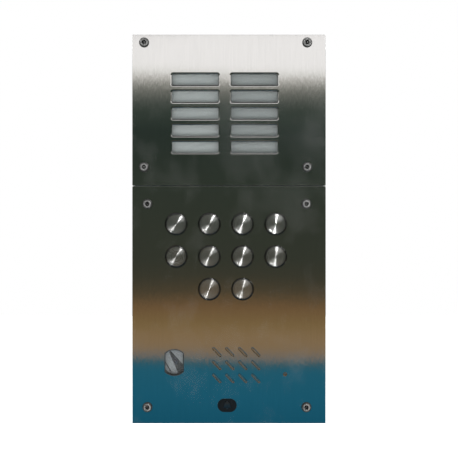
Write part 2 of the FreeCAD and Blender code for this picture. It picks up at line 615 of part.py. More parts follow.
def backlight():
    """Board behind the light box and the ten lamps on its front."""
    board = slab("backlight_blank", "window_x", "window_z", HOLDER_REAR, "holder_wide", "pane_tall", "board_thick")
    holes = [rod(f"backlight_hole_{n}", x, z, HOLDER_REAR, "thread_hole", "board_thick")
             for n, (x, z) in enumerate(WINDOW_STUDS, start=1)]
    node(cut("backlight_cut", board, holes), "backlight_board")
    lamps = [slab(f"lamp_{n}", x, z, f"{HOLDER_REAR} - led_tall", "led_wide", "led_wide", "led_tall")
             for n, (x, z) in enumerate(WINDOWS, start=1)]
    node(gather("lamp_set", lamps), "backlight_leds")


# ---------------------------------------------------------------- push buttons
def push_button(number, where):
    """A turned button: cap with a chamfered rim, retaining flange and stem."""
    x, z = where
    tag = f"button_{number}"
    front = f"{PLATE_FRONT} - button_proud"
    flange_front = f"{PLATE_REAR} + button_rest_gap"
    rim = taper(tag + "_rim", x, z, front, "button_face", "button_wide", "button_rim")
    cap = rod(tag + "_cap", x, z, f"{front} + button_rim", "button_wide",
              f"{flange_front} - ({front} + button_rim)")
    flange = rod(tag + "_flange", x, z, flange_front, "button_flange", "button_flange_thick")
    stem = rod(tag + "_stem", x, z, FLANGE_REAR, "stem_wide", f"-stem_end - ({FLANGE_REAR})")
    node(fuse(tag + "_turned", [rim, cap, flange, stem]), tag)


def spring_path(radius, height, turns):
    """The wire's centre line up the Z axis: half turns, each a flat arc tilted to climb half the pitch."""
    rise = height / turns / 2
    reach = (radius ** 2 + (rise / 2) ** 2) ** 0.5
    arcs = []
    for half in range(2 * turns):
        side = -1 if half % 2 else 1
        start = Vector(side * radius, 0, half * rise)
        crown = Vector(0, side * reach, (half + 0.5) * rise)
        finish = Vector(-side * radius, 0, (half + 1) * rise)
        arcs.append(Part.Arc(start, crown, finish).toShape())
    return Part.Wire(arcs)


def button_spring(number, where):
    """A compression spring round a button's stem, from the carrier to the flange."""
    front = size(FLANGE_REAR) + size("spring_end_gap")
    rear = size("-carrier_front - spring_end_gap")
    wire = size("spring_wire")
    radius = size("(spring_wide - spring_wire) / 2")
    path = spring_path(radius, rear - front - wire, int(size("spring_turns")))
    section = Part.Face(Part.Wire([Part.Circle(Vector(radius, 0, 0), Vector(0, 1, 0), wire / 2).toShape()]))
    coil = DOC.addObject("Part::Feature", f"button_{number}_coil")
    coil.Shape = path.makePipe(section)
    place(coil, where[0], f"{FLANGE_REAR} + spring_end_gap + spring_wire / 2", where[1], ALONG_Y)
    node(coil, f"button_{number}_spring")


def button_carrier():
    """Moulded plate that guides the ten stems and carries the springs."""
    body = new_body("button_carrier", "-(carrier_front - carrier_thick)")
    outline = new_sketch(body, "carrier_outline")
    draw_rectangle(outline, "button_x", "button_z - button_row_pitch * 1.05",
                   "button_column_pitch * 4", "button_row_pitch * 3.2")
    pad(body, outline, "carrier_thick")
    round_edges(body, lambda edge: edge.BoundBox.YLength > 1, "box_corner", "CarrierCorners")
    holes = new_sketch(body, "carrier_holes")
    for x, z in button_places():
        draw_circle(holes, x, z, "stem_wide + 2 * stem_gap")
    for x, z in KEYPAD_STUDS:
        draw_circle(holes, x, z, "thread_hole")
    pocket(body, holes, "carrier_thick", "CarrierHoles")
    node(body, "button_carrier")


def keypad():
    """Circuit board behind the carrier and the ten key switches on it."""
    body = new_body("keypad_board", "-(keypad_front - board_thick)")
    outline = new_sketch(body, "keypad_outline")
    draw_rectangle(outline, "button_x", "button_z - button_row_pitch * 1.05",
                   "button_column_pitch * 3.9", "button_row_pitch * 3.15")
    for x, z in KEYPAD_STUDS:
        draw_circle(outline, x, z, "thread_hole")
    pad(body, outline, "board_thick")
    node(body, "keypad_board")
    switches = []
    for number, (x, z) in enumerate(button_places(), start=1):
        housing = slab(f"switch_housing_{number}", x, z, "-(keypad_front + switch_tall)",
                       "switch_wide", "switch_wide", "switch_tall")
        actuator = rod(f"switch_actuator_{number}", x, z, "-(keypad_front + switch_tall + actuator_tall)",
                       "actuator_wide", "actuator_tall")
        switches.append(fuse(f"switch_{number}", [housing, actuator]))
    node(gather("switch_set", switches), "key_switches")


# ---------------------------------------------------------------- loudspeaker and microphone
def loudspeaker():
    """Mesh, moulded frame, paper cone and magnet behind the grille."""
    x, z = "grille_x", "grille_z"
    node(slab("mesh_sheet", x, z, PLATE_REAR, "mesh_wide", "mesh_tall", "mesh_thick"), "speaker_mesh")
    flange_front = f"{PLATE_REAR} + mesh_thick"
    flange = slab("speaker_flange", x, z, flange_front, "speaker_flange_wide", "speaker_flange_tall",
                  "speaker_flange_thick")
    basket = rod("speaker_basket", x, z, SPEAKER_FLANGE_REAR, "speaker_wide", "speaker_deep")
    hollow = rod("speaker_hollow", x, z, flange_front, "speaker_wide - 2 * speaker_wall",
                 "speaker_flange_thick + speaker_deep - speaker_wall")
    neck = rod("speaker_neck_hole", x, z, f"{SPEAKER_REAR} - speaker_wall", "cone_neck + 2", "speaker_wall")
    holes = [rod(f"speaker_hole_{n}", hole_x, hole_z, flange_front, "thread_hole", "speaker_flange_thick")
             for n, (hole_x, hole_z) in enumerate(SPEAKER_STUDS, start=1)]
    node(cut("speaker_housing", fuse("speaker_shell", [flange, basket]), [hollow, neck] + holes), "speaker_frame")
    cone_front = f"{flange_front} + speaker_wall"
    cone_long = f"{SPEAKER_REAR} - speaker_wall - 1 - ({cone_front})"
    outer = taper("cone_outer", x, z, cone_front, "cone_wide", "cone_neck", cone_long)
    inner = taper("cone_inner", x, z, cone_front, "cone_wide - 4 * cone_skin", "cone_neck - 4 * cone_skin",
                  f"{cone_long} - cone_skin")
    node(cut("cone_shell", outer, [inner]), "speaker_cone")
    pole = rod("magnet_pole", x, z, f"{SPEAKER_REAR} - speaker_wall", "cone_neck", "speaker_wall")
    disc = rod("magnet_disc", x, z, SPEAKER_REAR, "magnet_wide", "magnet_deep")
    node(fuse("magnet_set", [pole, disc]), "speaker_magnet")


def microphone():
    """Capsule in its rubber boot behind the small hole."""
    x, z = "microphone_x", "microphone_z"
    boot = rod("boot_blank", x, z, PLATE_REAR, "boot_wide", "boot_deep")
    sound_hole = rod("boot_sound_hole", x, z, PLATE_REAR, "microphone_hole", "boot_deep - capsule_deep")
    seat = rod("boot_seat", x, z, f"{PLATE_REAR} + boot_deep - capsule_deep", "capsule_wide", "capsule_deep")
    node(cut("boot_cut", cut("boot_drilled", boot, [sound_hole]), [seat]), "microphone_boot")
    node(rod("capsule", x, z, f"{PLATE_REAR} + boot_deep - capsule_deep", "capsule_wide", "capsule_deep"),
         "microphone_capsule")


# ---------------------------------------------------------------- camera
def camera_front():
    """Clear pane behind the camera opening, bracket with two arms, and the pale hood with its sight slot."""
    x, z = "camera_x", "camera_z"
    node(slab("camera_pane_sheet", x, z, PLATE_REAR, "camera_pane", "camera_pane", "pane_thick"), "camera_pane")
    base = slab("bracket_base", x, z, PANE_REAR, "bracket_wide", "bracket_tall", "bracket_sheet")
    arms = [slab(f"bracket_arm_{side}", f"{x} {sign} (bracket_wide - bracket_sheet) / 2", z, PANE_REAR,
                 "bracket_sheet", "arm_tall", f"-arm_end - ({PANE_REAR})") for side, sign in (("a", "-"), ("b", "+"))]
    mouth = rod("bracket_mouth", x, z, PANE_REAR, "hood_wide", "bracket_sheet")
    holes = [rod(f"bracket_hole_{n}", hole_x, hole_z, PANE_REAR, "thread_hole", "bracket_sheet")
             for n, (hole_x, hole_z) in enumerate(BRACKET_STUDS, start=1)]
    pivot = cross_rod("bracket_pivot_hole", f"{x} - bracket_wide / 2", "-camera_pivot", z,
                      "pivot_wide + 2 * pivot_gap", "bracket_wide")
    node(cut("bracket", fuse("bracket_blank", [base] + arms), [mouth, pivot] + holes), "camera_bracket")
    hood = rod("hood_blank", x, z, "-hood_front", "hood_wide", "hood_deep")
    hollow = rod("hood_hollow", x, z, "-hood_front + hood_face", "hood_wide - 2 * hood_wall", "hood_deep - hood_face")
    sight = wedge("sight_slot", [(-0.44, 0.76), (-0.31, 0.88), (0.8, -0.34), (0.62, -0.72), (0.3, -0.9)])
    parting = wedge("parting_line", [(-0.8, 0.08), (-0.74, 0.1), (-0.14, -0.92), (-0.27, -0.92)])
    node(cut("hood", hood, [fuse("hood_tools", [hollow, sight, parting])]), "camera_hood")


def wedge(name, corners):
    """A prism through the hood's face, with its corners as shares of the hood's inner radius."""
    radius = size("hood_wide / 2 - hood_wall")
    middle = Vector(size("camera_x"), size("-hood_front"), size("camera_z"))
    points = [middle + Vector(x * radius, 0, z * radius) for x, z in corners]
    prism = DOC.addObject("Part::Feature", name)
    prism.Shape = Part.Face(Part.makePolygon(points + points[:1])).extrude(Vector(0, size("hood_deep"), 0))
    return prism


def camera_module():
    """Camera housing that tilts on two pivot screws, and its lens."""
    x, z = "camera_x", "camera_z"
    front = "-(camera_pivot + camera_deep / 2)"
    cube = slab("camera_cube", x, z, front, "camera_cube", "camera_cube", "camera_deep")
    lens_front = f"{front} - lens_long"
    bores = [cross_rod(f"camera_bore_{side}", f"{x} + ({start})", "-camera_pivot", z,
                       "pivot_wide + 2 * pivot_gap", "pivot_in_camera + pivot_gap")
             for side, start in (("a", "-camera_cube / 2"), ("b", "camera_cube / 2 - pivot_in_camera - pivot_gap"))]
    node(cut("camera_housing", cube, bores), "camera_body")
    barrel = rod("lens_barrel", x, z, lens_front, "lens_wide", "lens_long")
    recess = taper("lens_recess", x, z, lens_front, "lens_glass + 2", "lens_glass", "lens_recess")
    node(cut("lens", barrel, [recess]), "camera_lens")
    screws = []
    long = "(bracket_wide - camera_cube) / 2 + pivot_in_camera"
    for side, head, shank in (("a", "-bracket_wide / 2 - pivot_head_thick", "-bracket_wide / 2"),
                              ("b", "bracket_wide / 2", f"bracket_wide / 2 - ({long})")):
        parts = [cross_rod(f"pivot_head_{side}", f"{x} + ({head})", "-camera_pivot", z,
                           "pivot_head", "pivot_head_thick"),
                 cross_rod(f"pivot_shank_{side}", f"{x} + ({shank})", "-camera_pivot", z, "pivot_wide", long)]
        screws.append(fuse(f"pivot_screw_{side}", parts))
    node(gather("pivot_screw_set", screws), "camera_pivot_screws")


# ---------------------------------------------------------------- audio board and badge
def audio_board():
    """Board on the loudspeaker's studs, with parts, terminals and volume control on its wall side."""
    x, z = "grille_x", "grille_z"
    rear = "-audio_front + board_thick"
    blank = slab("audio_blank", x, z, "-audio_front", "audio_wide", "audio_tall", "board_thick")
    holes = [rod(f"audio_hole_{n}", hole_x, hole_z, "-audio_front", "thread_hole", "board_thick")
             for n, (hole_x, hole_z) in enumerate(SPEAKER_STUDS, start=1)]
    node(cut("audio_cut", blank, holes), "audio_board")
    node(slab("terminals", x, f"{z} - terminal_drop", rear, "terminal_long", "terminal_tall", "terminal_deep"),
         "terminal_block")
    chip = slab("amplifier_chip", f"{x} + 6", f"{z} + 4", rear, "12", "9", "2")
    capacitor = rod("capacitor", f"{x} + 22", f"{z} + 8", rear, "8", "9")
    header = slab("lead_header", f"{x} - 4", f"{z} + 20", rear, "22", "6", "7")
    base = slab("trimmer_base", f"{x} + trimmer_x", f"{z} + trimmer_z", rear,
                "trimmer_wide", "trimmer_wide", "trimmer_deep")
    node(gather("audio_part_set", [chip, capacitor, header, base]), "audio_components")
    disc = rod("rotor_disc", f"{x} + trimmer_x", f"{z} + trimmer_z", f"{rear} + trimmer_deep + button_gap",
               "rotor_wide", "rotor_tall")
    groove = slab("rotor_groove", f"{x} + trimmer_x", f"{z} + trimmer_z",
                  f"{rear} + trimmer_deep + button_gap + rotor_tall / 2", "rotor_slot", "rotor_wide", "rotor_tall / 2")
    node(cut("rotor", disc, [groove]), "volume_rotor")


def badge():
    """Plain dark plaque at the foot of the lower plate."""
    body = new_body("badge", PLATE_FRONT)
    outline = new_sketch(body, "badge_outline")
    draw_slot(outline, "badge_x", "badge_z", "badge_wide", "badge_tall", "0")
    pad(body, outline, "badge_thick")
    node(body, "badge")


def build():
    """Make every sub-part."""
    fill_sheet()
    back_box()
    clinch_nuts()
    cable_grommet()
    earth_stud()
    gasket("directory_gasket", UPPER_CENTRE, "upper_height", UPPER_SCREWS)
    gasket("speech_gasket", LOWER_CENTRE, "lower_height", LOWER_SCREWS)
    directory_plate()
    speech_plate()
    plate_screws("directory_plate_screws", UPPER_SCREWS)
    plate_screws("speech_plate_screws", LOWER_SCREWS)
    studs_spacers_and_nuts()
    window_pane()
    card_holder()
    name_cards()
    backlight()
    for number, where in enumerate(button_places(), start=1):
        push_button(number, where)
        button_spring(number, where)
    button_carrier()
    keypad()
    loudspeaker()
    microphone()
    camera_front()
    camera_module()
    audio_board()
    badge()
    DOC.recompute()


def check():
    """Stop on any failed object, and on any sub-part without a sound shape."""
    for thing in DOC.Objects:
        if {"Invalid", "Error"} & set(thing.State):
            raise RuntimeError(f"{thing.Name} failed: {thing.State}")
    for part in NODES:
        if part.Shape.isNull() or not part.Shape.isValid() or not part.Shape.Solids:
            raise RuntimeError(f"{part.Label} has no sound shape")


def export():
    """Write one STEP file for each sub-part."""
    os.makedirs("parts", exist_ok=True)
    for part in NODES:
        part.Shape.exportStep(f"parts/{part.Label}.step")
    print(f"{len(NODES)} sub-parts")


build()
check()
export()
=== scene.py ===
# %% [markdown]
# # A door intercom panel in brushed steel
# Two steel plates close a wall box. The upper one has ten name windows, and the lower one ten push
# buttons, a camera window, a speech grille and a microphone hole. The CAD model gives every part its
# place and size. This notebook gives each part its finish, and models again the few parts whose fine
# shape catches the light: the turned buttons, their springs, the security screws, the mesh, the lens and
# the plaque.

# %% Load the frame
import json
import math
import bpy
from mathutils import Matrix, Vector

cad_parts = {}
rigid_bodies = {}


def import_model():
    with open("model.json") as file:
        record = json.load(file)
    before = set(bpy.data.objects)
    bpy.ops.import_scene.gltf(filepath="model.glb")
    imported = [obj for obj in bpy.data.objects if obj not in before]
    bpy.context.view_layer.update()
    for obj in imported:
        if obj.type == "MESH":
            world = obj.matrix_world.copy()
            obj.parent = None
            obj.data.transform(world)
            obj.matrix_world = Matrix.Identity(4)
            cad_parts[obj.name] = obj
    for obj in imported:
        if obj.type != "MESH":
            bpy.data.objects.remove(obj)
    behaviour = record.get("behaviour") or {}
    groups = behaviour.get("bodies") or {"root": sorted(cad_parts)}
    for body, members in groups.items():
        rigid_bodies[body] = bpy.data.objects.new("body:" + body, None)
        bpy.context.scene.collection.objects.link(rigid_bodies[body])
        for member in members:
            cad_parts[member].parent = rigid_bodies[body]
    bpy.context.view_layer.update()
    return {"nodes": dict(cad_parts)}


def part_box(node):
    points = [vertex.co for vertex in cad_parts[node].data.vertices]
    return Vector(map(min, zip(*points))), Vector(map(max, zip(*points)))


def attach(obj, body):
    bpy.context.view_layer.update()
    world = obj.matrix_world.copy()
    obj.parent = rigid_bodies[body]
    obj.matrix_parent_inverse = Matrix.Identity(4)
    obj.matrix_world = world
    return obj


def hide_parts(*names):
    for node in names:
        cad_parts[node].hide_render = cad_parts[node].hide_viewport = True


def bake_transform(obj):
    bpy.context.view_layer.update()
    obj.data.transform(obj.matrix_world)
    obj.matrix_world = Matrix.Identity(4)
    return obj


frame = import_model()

MM = 0.001
bpy.ops.object.select_all(action="DESELECT")

# %% [markdown]
# ## Measuring
# Two helpers read a node's size and middle from the frame, and the plates give the panel's front and height.

# %% Small measuring helpers


def size_of(node):
    """A node's extent along X, Y and Z."""
    low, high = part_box(node)
    return Vector(high) - Vector(low)


def centre_of(node):
    """The middle of a node's box."""
    low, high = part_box(node)
    return (Vector(high) + Vector(low)) / 2


BUTTONS = [f"button_{number}" for number in range(1, 11)]
PLATE_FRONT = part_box("speech_plate")[0][1]
PANEL = (Vector(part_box("speech_plate")[0]), Vector(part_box("directory_plate")[1]))
print("plates' front at", round(PLATE_FRONT, 4), "panel", round(PANEL[1].z - PANEL[0].z, 4), "m tall")

# %% [markdown]
# ## Materials
# Every finish is a small node tree on Object coordinates, so it stays fixed to the part. The helpers
# below only save typing: one adds a node and sets its sockets, and the others make the three things that
# most finishes share, which are a noise, a ramp that maps it to colours, and a bump.

# %% Node helpers


def new_material(name):
    """An empty material and its Principled shader."""
    material = bpy.data.materials.new(name)
    material.use_nodes = True
    shader = material.node_tree.nodes["Principled BSDF"]
    return material, shader


def add_node(material, kind, settings=None, **sockets):
    """A node with its properties and the values of its input sockets."""
    node = material.node_tree.nodes.new(kind)
    for name, value in (settings or {}).items():
        setattr(node, name, value)
    for name, value in sockets.items():
        node.inputs[name.replace("_", " ")].default_value = value
    return node


def link(material, source, target):
    """Join an output socket to an input socket."""
    material.node_tree.links.new(source, target)


def object_coordinates(material, scale=(1, 1, 1)):
    """Object coordinates, stretched by a scale."""
    coordinates = add_node(material, "ShaderNodeTexCoord")
    mapping = add_node(material, "ShaderNodeMapping", Scale=scale)
    link(material, coordinates.outputs["Object"], mapping.inputs["Vector"])
    return mapping.outputs["Vector"]


def noise(material, vector, scale, detail=2.0, roughness=0.5):
    """A noise pattern between 0 and 1."""
    node = add_node(material, "ShaderNodeTexNoise", Scale=scale, Detail=detail, Roughness=roughness)
    link(material, vector, node.inputs["Vector"])
    return node.outputs["Fac"]


def between(material, factor, low, high, from_low=0.3, from_high=0.7):
    """A number that runs from low to high as the factor does."""
    node = add_node(material, "ShaderNodeMapRange")
    for name, value in (("From Min", from_low), ("From Max", from_high), ("To Min", low), ("To Max", high)):
        node.inputs[name].default_value = value
    link(material, factor, node.inputs["Value"])
    return node.outputs["Result"]


def ramp(material, factor, *stops):
    """A colour ramp with (place, colour) stops."""
    node = add_node(material, "ShaderNodeValToRGB")
    band = node.color_ramp
    while len(band.elements) < len(stops):
        band.elements.new(0.5)
    for element, (place, colour) in zip(band.elements, stops):
        element.position = place
        element.color = (*colour, 1.0)
    link(material, factor, node.inputs["Fac"])
    return node.outputs["Color"]


def bump(material, shader, height, strength, distance):
    """Raise the surface by a pattern."""
    node = add_node(material, "ShaderNodeBump", Strength=strength, Distance=distance)
    link(material, height, node.inputs["Height"])
    link(material, node.outputs["Normal"], shader.inputs["Normal"])
    return node


def blend_numbers(material, operation, first, second):
    """Combine two numbers, either of which may be a socket."""
    node = add_node(material, "ShaderNodeMath", {"operation": operation})
    for place, value in enumerate((first, second)):
        if isinstance(value, (int, float)):
            node.inputs[place].default_value = value
        else:
            link(material, value, node.inputs[place])
    return node.outputs["Value"]


print("node helpers ready")

# %% [markdown]
# ### Brushed plate steel
# The plates were drawn under an abrasive belt, which leaves fine scratches from top to bottom. Scratches
# spread light sideways and hardly at all along themselves, so what the plate mirrors turns into smooth
# level bands. An anisotropic shader does just that: its tangent is level, across the scratches. Long
# thin noise, squeezed along Z, adds the scratches themselves to colour, roughness and bump. A soft haze,
# and two smoky patches where hands have been, make the metal slightly dusty: there the Metallic value
# falls a little below 1.

# %% Brushed steel


WORN_SPOTS = (((0.016, PLATE_FRONT, 0.096), 0.055, 0.050),      # centre, radius, strength
              ((0.078, PLATE_FRONT, 0.088), 0.034, 0.045))


def fixed_tangent(material, shader, direction):
    """Spread reflections along one direction in the part's own space."""
    level = add_node(material, "ShaderNodeCombineXYZ", X=direction[0], Y=direction[1], Z=direction[2])
    link(material, level.outputs["Vector"], shader.inputs["Tangent"])


def soft_spot(material, centre, radius):
    """A number that falls smoothly from 1 at a point of the part to 0 at a radius."""
    place = add_node(material, "ShaderNodeVectorMath", {"operation": "DISTANCE"})
    link(material, object_coordinates(material), place.inputs[0])
    place.inputs[1].default_value = centre
    fall = add_node(material, "ShaderNodeMapRange", {"interpolation_type": "SMOOTHSTEP"})
    for name, value in (("From Min", 0.0), ("From Max", radius), ("To Min", 1.0), ("To Max", 0.0)):
        fall.inputs[name].default_value = value
    link(material, place.outputs["Value"], fall.inputs["Value"])
    return fall.outputs["Result"]


def brushed_steel():
    """Stainless sheet with a vertical grain, short flecks and a thin film left by hands and rain."""
    material, shader = new_material("brushed_plate_steel")
    grain = noise(material, object_coordinates(material, (1, 1, 0.012)), 2600, 4, 0.65)
    flecks = noise(material, object_coordinates(material, (1, 1, 0.14)), 900, 3, 0.6)
    haze = noise(material, object_coordinates(material, (1, 1, 0.7)), 21, 5, 0.62)
    colour = ramp(material, grain, (0.25, (0.60, 0.60, 0.588)), (0.75, (0.66, 0.66, 0.648)))
    link(material, colour, shader.inputs["Base Color"])
    smoke = noise(material, object_coordinates(material, (1, 1, 1.6)), 38, 6, 0.65)
    wisps = between(material, smoke, 0.35, 1.25)
    film = between(material, haze, 0.0, 0.05, 0.5, 0.75)
    for spot, radius, strength in WORN_SPOTS:
        touched = blend_numbers(material, "MULTIPLY", soft_spot(material, spot, radius), strength)
        film = blend_numbers(material, "ADD", film, blend_numbers(material, "MULTIPLY", touched, wisps))
    link(material, blend_numbers(material, "SUBTRACT", 1.0, film), shader.inputs["Metallic"])
    shader.inputs["Anisotropic"].default_value = 1.0
    rough = blend_numbers(material, "ADD", between(material, grain, 0.11, 0.15),
                          between(material, haze, 0.0, 0.08, 0.5, 0.80))
    link(material, rough, shader.inputs["Roughness"])
    fixed_tangent(material, shader, (1.0, 0.2, 0.0))
    relief = blend_numbers(material, "ADD", blend_numbers(material, "MULTIPLY", grain, 0.05), flecks)
    bump(material, shader, relief, 1.0, 0.00008)
    return material


def dress(names, material):
    """Give CAD nodes one material."""
    for name in names:
        slots = frame["nodes"][name].data.materials
        slots.clear()
        slots.append(material)
    print(material.name, "on", ", ".join(names[:4]), "..." if len(names) > 4 else "")


PLATE_STEEL = brushed_steel()
dress(["directory_plate", "speech_plate"], PLATE_STEEL)

# %% [markdown]
# ### Spun button steel
# Each button was faced off on a lathe, so its scratches are rings, and light spreads along the radius.
# The tangent is therefore the direction away from the button's own centre. Each button carries that
# offset as its UV map, in millimetres, so one material serves all ten. Rings of noise that depend on the
# radius alone make the tool marks. A list of (radius, shade) bands paints light and shade into the colour:
# painted shade on the button's sloped rim, and painted rings of highlight and shade across the screws'
# heads.

# %% Spun steel


def spun_steel(name, bands, smooth, coarse, metal):
    """Turned steel whose colour carries painted light and shade in bands of (radius in mm, shade), and whose
    rings follow the UV map.
    """
    material, shader = new_material(name)
    offset = add_node(material, "ShaderNodeUVMap", {"uv_map": "from_centre"})
    parts = add_node(material, "ShaderNodeSeparateXYZ")
    link(material, offset.outputs["UV"], parts.inputs["Vector"])
    outward = add_node(material, "ShaderNodeCombineXYZ", Y=0.4)
    link(material, parts.outputs["X"], outward.inputs["X"])
    link(material, parts.outputs["Y"], outward.inputs["Z"])
    link(material, outward.outputs["Vector"], shader.inputs["Tangent"])
    radius = add_node(material, "ShaderNodeVectorMath", {"operation": "LENGTH"})
    link(material, offset.outputs["UV"], radius.inputs[0])
    along = add_node(material, "ShaderNodeCombineXYZ")
    link(material, radius.outputs["Value"], along.inputs["X"])
    rings = noise(material, along.outputs["Vector"], 3.2, 4, 0.7)
    wear = noise(material, object_coordinates(material), 60, 3)
    reach = bands[-1][0]
    share = blend_numbers(material, "DIVIDE", radius.outputs["Value"], reach)
    # painted light and shade: the bands lighten or darken the colour by radius
    shade = ramp(material, share, *((place / reach, (grey, grey, grey * 0.98)) for place, grey in bands))
    tint = add_node(material, "ShaderNodeMix", {"data_type": "RGBA", "blend_type": "MULTIPLY"})
    tint.inputs["Factor"].default_value = 1.0
    link(material, shade, tint.inputs["A"])
    link(material, ramp(material, rings, (0.3, (0.86,) * 3), (0.7, (1.0,) * 3)), tint.inputs["B"])
    link(material, tint.outputs["Result"], shader.inputs["Base Color"])
    shader.inputs["Metallic"].default_value = metal
    shader.inputs["Anisotropic"].default_value = 1.0
    rough = blend_numbers(material, "ADD", between(material, rings, smooth, coarse, 0.5, 0.62),
                          between(material, wear, -0.01, 0.02))
    link(material, rough, shader.inputs["Roughness"])
    bump(material, shader, rings, 0.25, 0.00003)
    return material


# painted shade: the button's sloped rim darkens outward from 8.2 mm
BUTTON_PAINTED_SHADE = ((0.0, 0.66), (8.2, 0.66), (8.8, 0.40), (10.0, 0.12))
# painted light and shade on the screw heads: a painted highlight on the pin, painted shade in the socket,
# and a painted dark reflection on the dome
SCREW_PAINTED_LIGHT = ((0.0, 0.95), (0.9, 0.95),        # the pin
               (1.1, 0.05), (1.8, 0.05),        # the socket
               (2.1, 0.80), (3.0, 0.70),        # the flat round it
               (3.6, 0.10), (4.75, 0.06))       # the dome
SPUN_STEEL = spun_steel("spun_button_steel", BUTTON_PAINTED_SHADE, smooth=0.17, coarse=0.36, metal=0.97)
SCREW_FACE = spun_steel("turned_screw_steel", SCREW_PAINTED_LIGHT, smooth=0.30, coarse=0.45, metal=0.6)
print("ring marks follow the UV map:", SPUN_STEEL.name, SCREW_FACE.name)

# %% [markdown]
# ### Other metals
# Fasteners and small turned parts share one recipe, a metal with a little uneven polish, in four
# colours. The wall box is zinc-coated sheet, whose coat freezes in large flat crystals. A Voronoi
# pattern gives each crystal its own shade and its own slight roughness.

# %% Fasteners, brass and zinc


def plain_metal(name, colour, rough, grain=900):
    """A bright metal with fine unevenness in shade and polish."""
    material, shader = new_material(name)
    mottle = noise(material, object_coordinates(material), grain, 3)
    light = tuple(min(1.0, part * 1.08) for part in colour)
    dark = tuple(part * 0.9 for part in colour)
    link(material, ramp(material, mottle, (0.3, dark), (0.7, light)), shader.inputs["Base Color"])
    link(material, between(material, mottle, rough * 0.8, rough * 1.2), shader.inputs["Roughness"])
    shader.inputs["Metallic"].default_value = 1.0
    bump(material, shader, mottle, 0.05, 0.00002)
    return material


def zinc_sheet():
    """Hot-dipped sheet steel with frozen zinc crystals."""
    material, shader = new_material("zinc_coated_sheet")
    crystals = add_node(material, "ShaderNodeTexVoronoi", Scale=190.0)
    warp = noise(material, object_coordinates(material), 60, 3)
    moved = add_node(material, "ShaderNodeVectorMath", {"operation": "ADD"})
    scaled = add_node(material, "ShaderNodeVectorMath", {"operation": "SCALE"}, Scale=0.006)
    link(material, warp, scaled.inputs[0])
    link(material, object_coordinates(material), moved.inputs[0])
    link(material, scaled.outputs["Vector"], moved.inputs[1])
    link(material, moved.outputs["Vector"], crystals.inputs["Vector"])
    grey = add_node(material, "ShaderNodeSeparateColor")
    link(material, crystals.outputs["Color"], grey.inputs["Color"])
    shade = ramp(material, grey.outputs["Red"], (0.0, (0.46, 0.48, 0.50)), (1.0, (0.66, 0.68, 0.69)))
    link(material, shade, shader.inputs["Base Color"])
    link(material, between(material, grey.outputs["Green"], 0.34, 0.52, 0, 1), shader.inputs["Roughness"])
    shader.inputs["Metallic"].default_value = 0.9
    bump(material, shader, grey.outputs["Blue"], 0.04, 0.00005)
    return material


SCREW_STEEL = plain_metal("bright_screw_steel", (0.62, 0.62, 0.61), 0.2)
NUT_ZINC = plain_metal("dull_nut_zinc", (0.62, 0.62, 0.58), 0.4)
BRASS = plain_metal("turned_brass", (0.75, 0.56, 0.26), 0.25)
SPRING_WIRE = plain_metal("drawn_spring_wire", (0.66, 0.66, 0.67), 0.22)
CAN_METAL = plain_metal("capsule_can", (0.72, 0.73, 0.74), 0.28)
dress(["back_box"], zinc_sheet())
dress(["clinch_nuts", "stud_nuts", "board_spacers"], NUT_ZINC)
dress(["directory_studs", "speech_studs", "camera_pivot_screws"], SCREW_STEEL)
dress(["earth_stud"], BRASS)
dress(["microphone_capsule"], CAN_METAL)

# %% [markdown]
# ### Plastics, rubber and card
# Moulded parts share one recipe too: a colour that drifts a little and a spark-eroded skin from fine
# bump. Rubber and foam are the same with a coarser grain and no shine. The cards are matt board with a
# trace of fibre. The camera's hood has a recipe of its own: a painted shadow runs round its outline as a
# black line, and painted shade darkens its recesses.

# %% Mouldings, rubber, foam and card


def moulding(name, colour, rough, grain=1500, depth=0.15, drift=0.12, glow_through=0.0):
    """A moulded part: a slight drift in colour, and a fine eroded skin."""
    material, shader = new_material(name)
    soft = noise(material, object_coordinates(material), 40, 3)
    skin = noise(material, object_coordinates(material), grain, 3)
    light = tuple(min(1.0, part * (1 + drift)) for part in colour)
    dark = tuple(part * (1 - drift) for part in colour)
    link(material, ramp(material, soft, (0.3, dark), (0.7, light)), shader.inputs["Base Color"])
    link(material, between(material, skin, rough * 0.9, min(1.0, rough * 1.1)), shader.inputs["Roughness"])
    shader.inputs["Subsurface Weight"].default_value = glow_through
    shader.inputs["Subsurface Scale"].default_value = 2 * MM
    bump(material, shader, skin, depth, 0.00004)
    return material


# painted shadow: a black line round the hood's outline, in the gap where the plate shades it; given by
# radius, the right flat and the left flat
OUTLINE_SHADOW = ((11.1 * MM, 11.5 * MM), (7.8 * MM, 8.1 * MM), (-8.5 * MM, -8.8 * MM))     # radius, right, left
# painted shade: this far behind the hood's front, its recesses turn dark
RECESS_SHADE = (0.3 * MM, 0.8 * MM)


